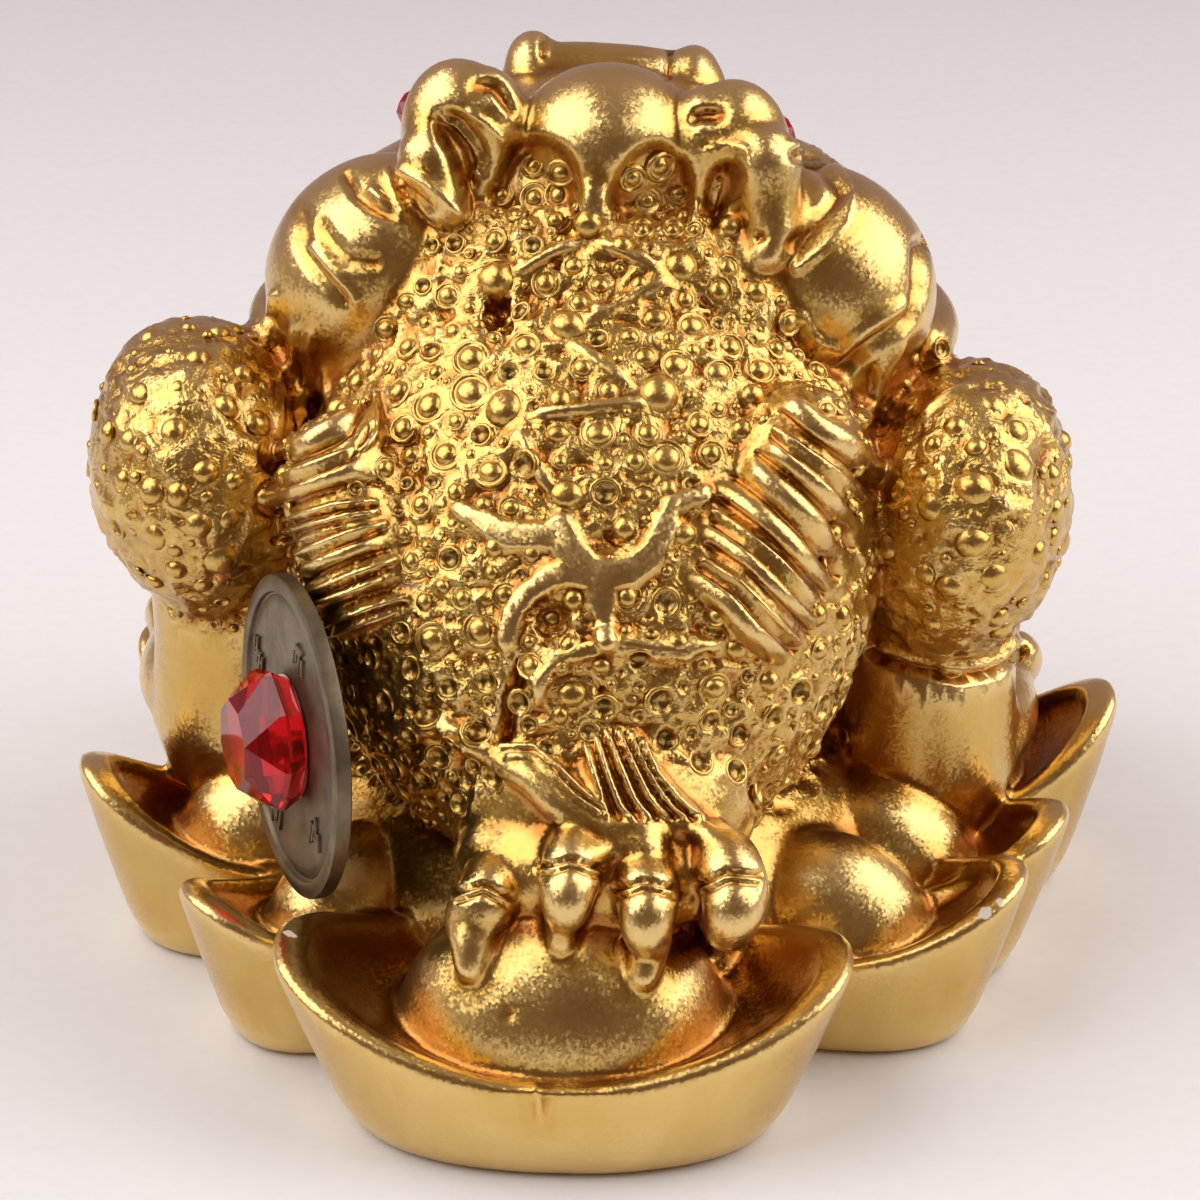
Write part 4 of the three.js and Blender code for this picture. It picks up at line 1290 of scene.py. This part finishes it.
# %% [markdown]
# ## The coin and its gem
#
# The coin is struck brass: a flat field inside a raised rim, with an upset edge that is milled all
# round. Its section is turned on the axis, as the warts were, and every other corner of the edge is
# pushed in for the milling. The marks around the gem are worn on the real coin, so they are only
# groups of short strokes that spell nothing.

# %% The coin
MILLING = 120             # notches round the edge
NOTCH = 0.12              # mm, their depth
COIN_EDGE = COIN_DIAMETER / 2
COIN_FACE = COIN_THICKNESS / 2
FIELD = COIN_FACE - 0.3   # the flat field lies this far from the middle of the coin's thickness
# radius and height, from the back over the edge to the face
COIN_PROFILE = [
    (COIN_EDGE - 2.1, -FIELD), (COIN_EDGE - 1.5, -FIELD), (COIN_EDGE - 1.3, 0.05 - COIN_FACE),
    (COIN_EDGE - 0.3, -COIN_FACE), (COIN_EDGE - 0.08, 0.13 - COIN_FACE), (COIN_EDGE, 0.27 - COIN_FACE),
    (COIN_EDGE, COIN_FACE - 0.27), (COIN_EDGE - 0.08, COIN_FACE - 0.13), (COIN_EDGE - 0.3, COIN_FACE),
    (COIN_EDGE - 1.1, COIN_FACE), (COIN_EDGE - 1.24, COIN_FACE - 0.07), (COIN_EDGE - 1.34, FIELD - 0.05),
    (COIN_EDGE - 1.46, FIELD - 0.09), (COIN_EDGE - 1.6, FIELD), (COIN_EDGE - 2.3, FIELD), (3, FIELD),
]
coin = turned(COIN_PROFILE, 2 * MILLING)
for corner in coin.data.vertices:
    if corner.co.xy.length > COIN_EDGE - 0.05:
        step = round(math.atan2(corner.co.y, corner.co.x) / math.pi * MILLING)
        if step % 2:
            corner.co.xy *= 1 - NOTCH / corner.co.xy.length
# middle of each group on the coin's face, in mm
STROKE_GROUPS = [(-7.8, 2.7), (1.8, 7.4), (-2.8, -7.8), (6.5, -4.6)]
STROKES = 7               # in each group, of which the upright ones come first
UPRIGHT_STROKES = 4
STROKE_STEP = 0.62
STROKE_WIDTH = 0.28
STROKE_HEIGHT = 0.4       # its thickness, and how high its middle is, so that most of it shows
stroke_chance = np.random.default_rng(8)
strokes = []
for across, up in STROKE_GROUPS:
    for number in range(STROKES):
        upright = number < UPRIGHT_STROKES
        bpy.ops.object.select_all(action="DESELECT")
        bpy.ops.mesh.primitive_cube_add(size=1)
        stroke = bpy.context.object
        shift = (number - 1.5) * STROKE_STEP if upright else stroke_chance.uniform(-0.5, 0.5)
        length = stroke_chance.uniform(1.0, 2.4) if upright else stroke_chance.uniform(0.7, 1.2)
        sides = (STROKE_WIDTH, length) if upright else (length, STROKE_WIDTH)
        stroke.scale = (*sides, STROKE_HEIGHT)
        stroke.location = (across + shift, up + stroke_chance.uniform(-0.7, 0.7), STROKE_HEIGHT)
        stroke.rotation_euler.z = stroke_chance.uniform(-0.25, 0.25)
        strokes.append(finish_with(settle(stroke), "BEVEL", width=0.07, segments=2))
coin = joined([coin, *strokes], "coin_struck")


def faced(item, middle, out, up, name):
    """Brings a shape that lies on its back to its place: its z looks out and its y is up."""
    turn = Matrix((up.cross(out), up, out)).transposed().to_4x4()
    item.data.transform(Matrix.Translation(middle) @ turn)
    item.data.update()
    item.name = item.data.name = name
    return item


coin = faced(coin, coin_centre, coin_out, coin_up, "coin_struck")
print("coin", len(coin.data.polygons), "faces")

# %% [markdown]
# ### The gems
#
# A gem of this kind is pressed from red glass in a mould with eight sides. Its table is turned by
# half a side against its girdle, which breaks the crown into triangles, and flat shading keeps
# every facet sharp. A silver foil behind the coin's gem throws the light back through the red, as
# on the real one. The eye gems are the same cut at a third of the size.

# %% The gems
GEM_SIDES = 8
# radius and height as shares of the gem's: the back, the lower and upper edge of the girdle, and the table
GEM_CUT = [(0.86, 0), (1, 0.32), (0.97, 0.42), (0.6, 1)]
GEM_RADIUS = 5.5
GEM_HEIGHT = 4.1
GEM_FOOT = 0.65           # the gem's back over the middle of the coin
# the foil's radius as a share of the gem's, and its height over the middle of the coin
FOIL_PROFILE = [(0.6, 0.4), (0.82, 0.42), (0.84, 0.5), (0.8, 0.6)]
EYE_GEM_RADIUS = 1.8
EYE_GEM_HEIGHT = 1.7
EYE_OUT = (0.86, 0.42, 0.28)          # where the right eye looks
EYES = [dict(name="left_eye_gem", side=-1, seat=(-13.9, 13.4, 61.6)),
        dict(name="right_eye_gem", side=1, seat=(11.9, 13.8, 60.0))]


def cut_gem(radius, height, foot=0):
    """A gem lying on its back, which is foot mm up."""
    stone = turned([(radius * wide, height * high) for wide, high in GEM_CUT], GEM_SIDES)
    for corner in stone.data.vertices:
        if corner.co.z > height * 0.9:
            corner.co.xy = Matrix.Rotation(math.pi / GEM_SIDES, 2) @ corner.co.xy
    stone.data.transform(Matrix.Translation((0, 0, foot)))
    return finish_with(stone, "TRIANGULATE")


gem = faced(cut_gem(GEM_RADIUS, GEM_HEIGHT, GEM_FOOT), coin_centre, coin_out, coin_up, "coin_gem_cut")
foil = turned([(GEM_RADIUS * wide, height) for wide, height in FOIL_PROFILE], 32)
foil = faced(foil, coin_centre, coin_out, coin_up, "coin_gem_foil")
eye_gems = []
for one in EYES:
    out = Vector((one["side"] * EYE_OUT[0], *EYE_OUT[1:])).normalized()
    up = (Vector((0, 0, 1)) - out * out.z).normalized()
    stone = cut_gem(EYE_GEM_RADIUS, EYE_GEM_HEIGHT)
    eye_gems.append(faced(stone, one["seat"], out, up, one["name"] + "_cut"))
print("gems", len(gem.data.polygons), "faces each")

# %% [markdown]
# ## Bringing the pieces to the frame
#
# Each finished piece is scaled to metres in its mesh, held inside the box of the measured solids
# and tied to the solid that it dresses. The skin and the warts are shaded smooth, and the coin and
# gems keep their edges.

# %% To metres
def to_frame(item, replaces=None, sharp=None):
    """Brings a piece to the frame. Edges that turn by more than sharp degrees stay sharp."""
    corners = np.empty(len(item.data.vertices) * 3)
    item.data.vertices.foreach_get("co", corners)
    corners = np.clip(corners.reshape(-1, 3), np.array(cad_low) / MM, np.array(cad_high) / MM)
    item.data.vertices.foreach_set("co", (corners * MM).ravel())
    item.data.update()
    only(item)
    if sharp is None:
        bpy.ops.object.shade_smooth()
    else:
        bpy.ops.object.shade_smooth_by_angle(angle=math.radians(sharp))
    item.data.materials.clear()
    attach(item, "root")
    if replaces:
        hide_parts(replaces)


to_frame(casting, "toad_casting")
to_frame(warts)
to_frame(coin, "coin", sharp=35)
to_frame(gem, "coin_gem", sharp=5)
to_frame(foil, sharp=30)
for stone, one in zip(eye_gems, EYES):
    to_frame(stone, one["name"], sharp=5)
print("dressed", [item.name for item in (casting, warts, coin, gem, foil, *eye_gems)])

# %% [markdown]
# ## Materials
#
# Colours are read off the photograph as sRGB codes, and one function turns them linear. Scales are
# given in real millimetres: a noise of scale S has lumps of 1/S metres.

# %% Material helpers
def linear(code):
    """An sRGB hex code as a linear colour."""
    values = [int(code[i:i + 2], 16) / 255 for i in (1, 3, 5)]
    return (*[v / 12.92 if v <= 0.04045 else ((v + 0.055) / 1.055) ** 2.4 for v in values], 1)


def fill(target, inputs):
    """Sets the inputs of a node. Each takes a plain value, or another node's output to be linked to it."""
    for name, value in inputs.items():
        if isinstance(value, bpy.types.NodeSocket):
            target.id_data.links.new(value, target.inputs[name])
        else:
            target.inputs[name].default_value = value


def node(tree, kind, inputs, out=0, **settings):
    """Adds a node with its settings and inputs, and gives back one of its outputs."""
    new = tree.nodes.new(kind)
    for name, value in settings.items():
        setattr(new, name, value)
    fill(new, inputs)
    return new.outputs[out]


def material(name):
    """A new material, its tree, its shader and the place of a point on the piece."""
    new = bpy.data.materials.new(name)
    new.use_nodes = True
    point = node(new.node_tree, "ShaderNodeTexCoord", {}, "Object")
    return new, new.node_tree, new.node_tree.nodes["Principled BSDF"], point


def per_metre(millimetres):
    """The scale of a pattern that repeats after so many millimetres."""
    return 1 / (millimetres * MM)


# A colour mix has its share in input 0, its two colours in inputs 6 and 7, and its result in output 2
MIX = dict(out=2, data_type="RGBA")

# %% [markdown]
# ### The gold paint
#
# The resin is sprayed with a lacquer full of fine brass flakes. It shines like satin metal, with a
# grain where the flakes lie at different angles. They are the cells of a Voronoi pattern, and each
# leans by its own random colour. They are drawn 0.2 mm wide, coarser than they are, because finer
# ones don't show. In the small hollows and where the casting covers the sky over a point, the colour
# is an orange-brown painted shade. On crests a paler tone stands partly for paint rubbed thin and
# partly for a painted highlight. A thin clear coat adds a second, sharper shine.

# %% Gold paint
FLAKE_SIZE = 0.2          # mm
FLAKE_LEAN = 0.16         # how far a flake may lean, as a share of the normal's length
BLOTCH_SIZE = 5           # mm, patches where the paint is a little darker and glossier
WRINKLE_GRAIN = 0.75      # mm, the finest wrinkles of the hide, which are only in the paint's bump
GRAIN_DEPTH = 0.35 * MM

gold, tree, shader, point = material("sprayed_gold_lacquer")
hollows = node(tree, "ShaderNodeAttribute", {}, "Fac", attribute_name="hollow")
hide_here = node(tree, "ShaderNodeAttribute", {}, "Fac", attribute_name="hide")
shelters = node(tree, "ShaderNodeAttribute", {}, "Fac", attribute_name="shelter")
blotches = node(tree, "ShaderNodeTexNoise", {
    "Vector": point, "Scale": per_metre(BLOTCH_SIZE), "Detail": 3.0}, "Fac")

blotched = node(tree, "ShaderNodeMapRange", {"Value": blotches, "From Min": 0.35, "From Max": 0.65})
# paler on crests: partly paint rubbed thin, partly a painted highlight
crest_wear_and_painted_highlight = node(tree, "ShaderNodeMapRange", {"Value": hollows, "From Min": -0.2, "From Max": -0.9})
# painted shade where the casting covers the sky over a point
sheltered_painted_shade = node(tree, "ShaderNodeMapRange", {"Value": shelters, "From Min": 0.4, "From Max": 1.0})
# painted shade in the small hollows
hollow_painted_shade = node(tree, "ShaderNodeMapRange", {"Value": hollows, "From Min": 0.03, "From Max": 0.5})
painted = node(tree, "ShaderNodeMix", {0: blotched, 6: linear("#CFA64F"), 7: linear("#D8B45F")}, **MIX)
# the crest tone, partly painted highlight, then the painted shade of sheltered places and of hollows
for share, tone in ((crest_wear_and_painted_highlight, "#E9C982"), (sheltered_painted_shade, "#B47828"), (hollow_painted_shade, "#B0701C")):
    painted = node(tree, "ShaderNodeMix", {0: share, 6: painted, 7: linear(tone)}, **MIX)
gloss = node(tree, "ShaderNodeMapRange", {
    "Value": blotches, "From Min": 0.3, "From Max": 0.7, "To Min": 0.27, "To Max": 0.33})

# %% [markdown]
# ### Where the paint has chipped
#
# On the ends of the ingots the paint has been knocked off and the pale resin shows. Each chip is a
# small ball in space, placed by a ray through its pixel. A noise makes its edge ragged, and inside
# it the surface is no longer metal.

# %% Paint chips
# pixel of the photograph and radius in mm
CHIPS = [((290, 934), 0.5), ((283, 925), 0.35), ((121, 777), 0.4), ((985, 912), 0.55), ((1000, 901), 0.3)]
RAGGED = 0.35             # mm by which the edge of a chip wanders
CHIP_EDGE = 0.08          # mm over which the paint ends

edge_noise = node(tree, "ShaderNodeTexNoise", {"Vector": point, "Scale": per_metre(0.5)}, "Fac")
chipped = 0.0
for pixel, radius in CHIPS:
    middle = ground.ray_cast(eye, sight(pixel))[0]
    if middle is not None:
        distance = node(tree, "ShaderNodeVectorMath", {
            0: point, 1: middle * MM}, "Value", operation="DISTANCE")
        wandering = node(tree, "ShaderNodeMath", {
            0: edge_noise, 1: 2 * RAGGED * MM, 2: distance}, operation="MULTIPLY_ADD")
        outer = radius + RAGGED
        chip = node(tree, "ShaderNodeMapRange", {
            "Value": wandering, "From Min": outer * MM, "From Max": (outer - CHIP_EDGE) * MM})
        chipped = node(tree, "ShaderNodeMath", {0: chipped, 1: chip}, operation="MAXIMUM")
painted = node(tree, "ShaderNodeMix", {0: chipped, 6: painted, 7: linear("#E9E0D2")}, **MIX)
metal = node(tree, "ShaderNodeMath", {0: 1.0, 1: chipped}, operation="SUBTRACT")
print(len(CHIPS), "paint chips")

# %% [markdown]
# ### Wrinkles and flakes in the paint's bump
#
# The bump of the finest wrinkles works only on the hide. Each flake then tilts the bumped normal by
# its own small vector, and the sum is brought back to length 1.

# %% Paint bump
wrinkle_noise = node(tree, "ShaderNodeTexNoise", {
    "Vector": point, "Scale": per_metre(WRINKLE_GRAIN), "Detail": 2.5, "Roughness": 0.6,
    "Distortion": 0.4}, "Fac")
wrinkle_height = node(tree, "ShaderNodeMath", {0: wrinkle_noise, 1: hide_here}, operation="MULTIPLY")
wrinkle_bump = node(tree, "ShaderNodeBump", {
    "Strength": 0.5, "Distance": GRAIN_DEPTH, "Height": wrinkle_height}, "Normal")
flakes = node(tree, "ShaderNodeTexVoronoi", {"Vector": point, "Scale": per_metre(FLAKE_SIZE)}, "Color")
leaning = node(tree, "ShaderNodeVectorMath", {0: flakes, 1: (0.5, 0.5, 0.5)}, operation="SUBTRACT")
tilted = node(tree, "ShaderNodeVectorMath", {
    0: leaning, 1: (FLAKE_LEAN, FLAKE_LEAN, FLAKE_LEAN), 2: wrinkle_bump}, operation="MULTIPLY_ADD")
flake_normal = node(tree, "ShaderNodeVectorMath", {0: tilted}, operation="NORMALIZE")
fill(shader, {
    "Base Color": painted, "Metallic": metal, "Roughness": gloss, "Normal": flake_normal,
    "Coat Weight": 0.6, "Coat Roughness": 0.2})
for item in (casting, warts):
    item.data.materials.append(gold)
print("gold paint with", len(tree.nodes), "nodes")

# %% [markdown]
# ### The coin's metal
#
# Struck brass is bright when new. This coin has gone brown-grey in many hands: a tarnish in patches
# of a few millimetres, and a fine grain that breaks up the shine.

# %% Coin metal
brass, tree, shader, point = material("struck_brass_darkened_by_handling")
tarnish = node(tree, "ShaderNodeTexNoise", {"Vector": point, "Scale": per_metre(2.5), "Detail": 5.0}, "Fac")
grain = node(tree, "ShaderNodeTexNoise", {"Vector": point, "Scale": per_metre(0.25), "Detail": 2.0}, "Fac")
tarnished = node(tree, "ShaderNodeMapRange", {"Value": tarnish, "From Min": 0.3, "From Max": 0.7})
tone = node(tree, "ShaderNodeMix", {0: tarnished, 6: linear("#645845"), 7: linear("#8A7D66")}, **MIX)
worn = node(tree, "ShaderNodeMapRange", {"Value": grain, "To Min": 0.34, "To Max": 0.52})
scuffs = node(tree, "ShaderNodeBump", {"Strength": 0.3, "Distance": 0.03 * MM, "Height": grain}, "Normal")
fill(shader, {"Base Color": tone, "Metallic": 0.9, "Roughness": worn, "Normal": scuffs})
coin.data.materials.append(brass)
print("coin metal with", len(tree.nodes), "nodes")

# %% [markdown]
# ### The gems' glass
#
# Red pressed glass is clear all through, with faint streaks from the mould. It is see-through by
# its plain transmission value, and its polish is near that of a mirror.

# %% Red glass
glass, tree, shader, point = material("pressed_red_glass")
streaks = node(tree, "ShaderNodeTexNoise", {"Vector": point, "Scale": per_metre(3), "Detail": 2.0}, "Fac")
red = node(tree, "ShaderNodeMix", {0: streaks, 6: linear("#F0202A"), 7: linear("#D8101C")}, **MIX)
fill(shader, {"Base Color": red, "Roughness": 0.04, "IOR": 1.52, "Transmission Weight": 0.88})
for item in (gem, *eye_gems):
    item.data.materials.append(glass)
print("glass on", 1 + len(eye_gems), "gems")

# %% [markdown]
# ### The foil
#
# The back of such a gem is coated with a thin film of metal. It is a little crinkled and takes a
# pink tinge from the glue, so it is a mirror with soft edges rather than a perfect one.

# %% Silver foil
silver, tree, shader, point = material("vacuum_coated_foil")
crinkle = node(tree, "ShaderNodeTexNoise", {"Vector": point, "Scale": per_metre(1.2), "Detail": 2.0}, "Fac")
pink = node(tree, "ShaderNodeMix", {0: crinkle, 6: linear("#F4D9D9"), 7: linear("#E6B4B4")}, **MIX)
fill(shader, {"Base Color": pink, "Metallic": 1, "Roughness": 0.3})
foil.data.materials.append(silver)
print("foil with", len(tree.nodes), "nodes")

# %% [markdown]
# ## Studio
#
# Metal shows what stands around it. Around the camera of the photograph it was dark, which is why
# smooth bulges show a brown patch between two bright ones. The camera sees white all round here, as
# in the cut-out photograph, but reflections see a dim room that is brown behind the camera and
# mauve-grey in front of it.

# %% The room
world = bpy.data.worlds.new("studio")
bpy.context.scene.world = world
world.use_nodes = True
tree = world.node_tree
direction = node(tree, "ShaderNodeTexCoord", {}, "Generated")
ahead = node(tree, "ShaderNodeSeparateXYZ", {"Vector": direction}, "Y")
depth = node(tree, "ShaderNodeMapRange", {"Value": ahead, "From Min": -0.7, "From Max": 0.5})
room = node(tree, "ShaderNodeMix", {0: depth, 6: linear("#6A4F40"), 7: linear("#A08A8C")}, **MIX)
camera_ray = node(tree, "ShaderNodeLightPath", {}, "Is Camera Ray")
seen = node(tree, "ShaderNodeMix", {0: camera_ray, 6: room, 7: (1, 1, 1, 1)}, **MIX)
fill(tree.nodes["Background"], {"Color": seen})
bpy.context.scene.view_settings.view_transform = "Standard"

# %% [markdown]
# ### Lamps and ground
#
# Two large softboxes stand to the left and the right of the figure, high up. The ground is a sheet
# of white paper that lights the outer walls of the ingots from below.

# %% Lamps and ground
SOFTBOXES = [
    # direction from the figure, side in mm, watts
    ((-0.68, -0.15, 0.72), 380, 1.1),
    ((0.80, 0.02, 0.60), 360, 0.95),
]
LAMP_DISTANCE = 340
SHEET_SIDE = 620
SHEET_DROP = 0.1          # mm below the figure, so that the two don't share a plane
for number, (direction, side, power) in enumerate(SOFTBOXES):
    direction = Vector(direction).normalized()
    bpy.ops.object.light_add(
        type="AREA", location=(AIM + direction * LAMP_DISTANCE) * MM,
        rotation=direction.to_track_quat("Z", "Y").to_euler())
    lamp = bpy.context.object
    lamp.name = "softbox_" + str(number + 1)
    lamp.data.shape = "SQUARE"
    lamp.data.size = side * MM
    lamp.data.energy = power
bpy.ops.object.select_all(action="DESELECT")
bpy.ops.mesh.primitive_plane_add(size=SHEET_SIDE * MM, location=(0, 0, -SHEET_DROP * MM))
floor = bpy.context.object
floor.name = "white_sheet"
paper, tree, shader, point = material("matt_white_paper")
fibres = node(tree, "ShaderNodeTexNoise", {"Vector": point, "Scale": per_metre(1.5)}, "Fac")
white = node(tree, "ShaderNodeMix", {0: fibres, 6: linear("#EEEEEE"), 7: linear("#F4F4F4")}, **MIX)
fill(shader, {"Base Color": white, "Roughness": 0.9})
floor.data.materials.append(paper)
print(len(SOFTBOXES), "softboxes,", LAMP_DISTANCE, "mm from the figure")
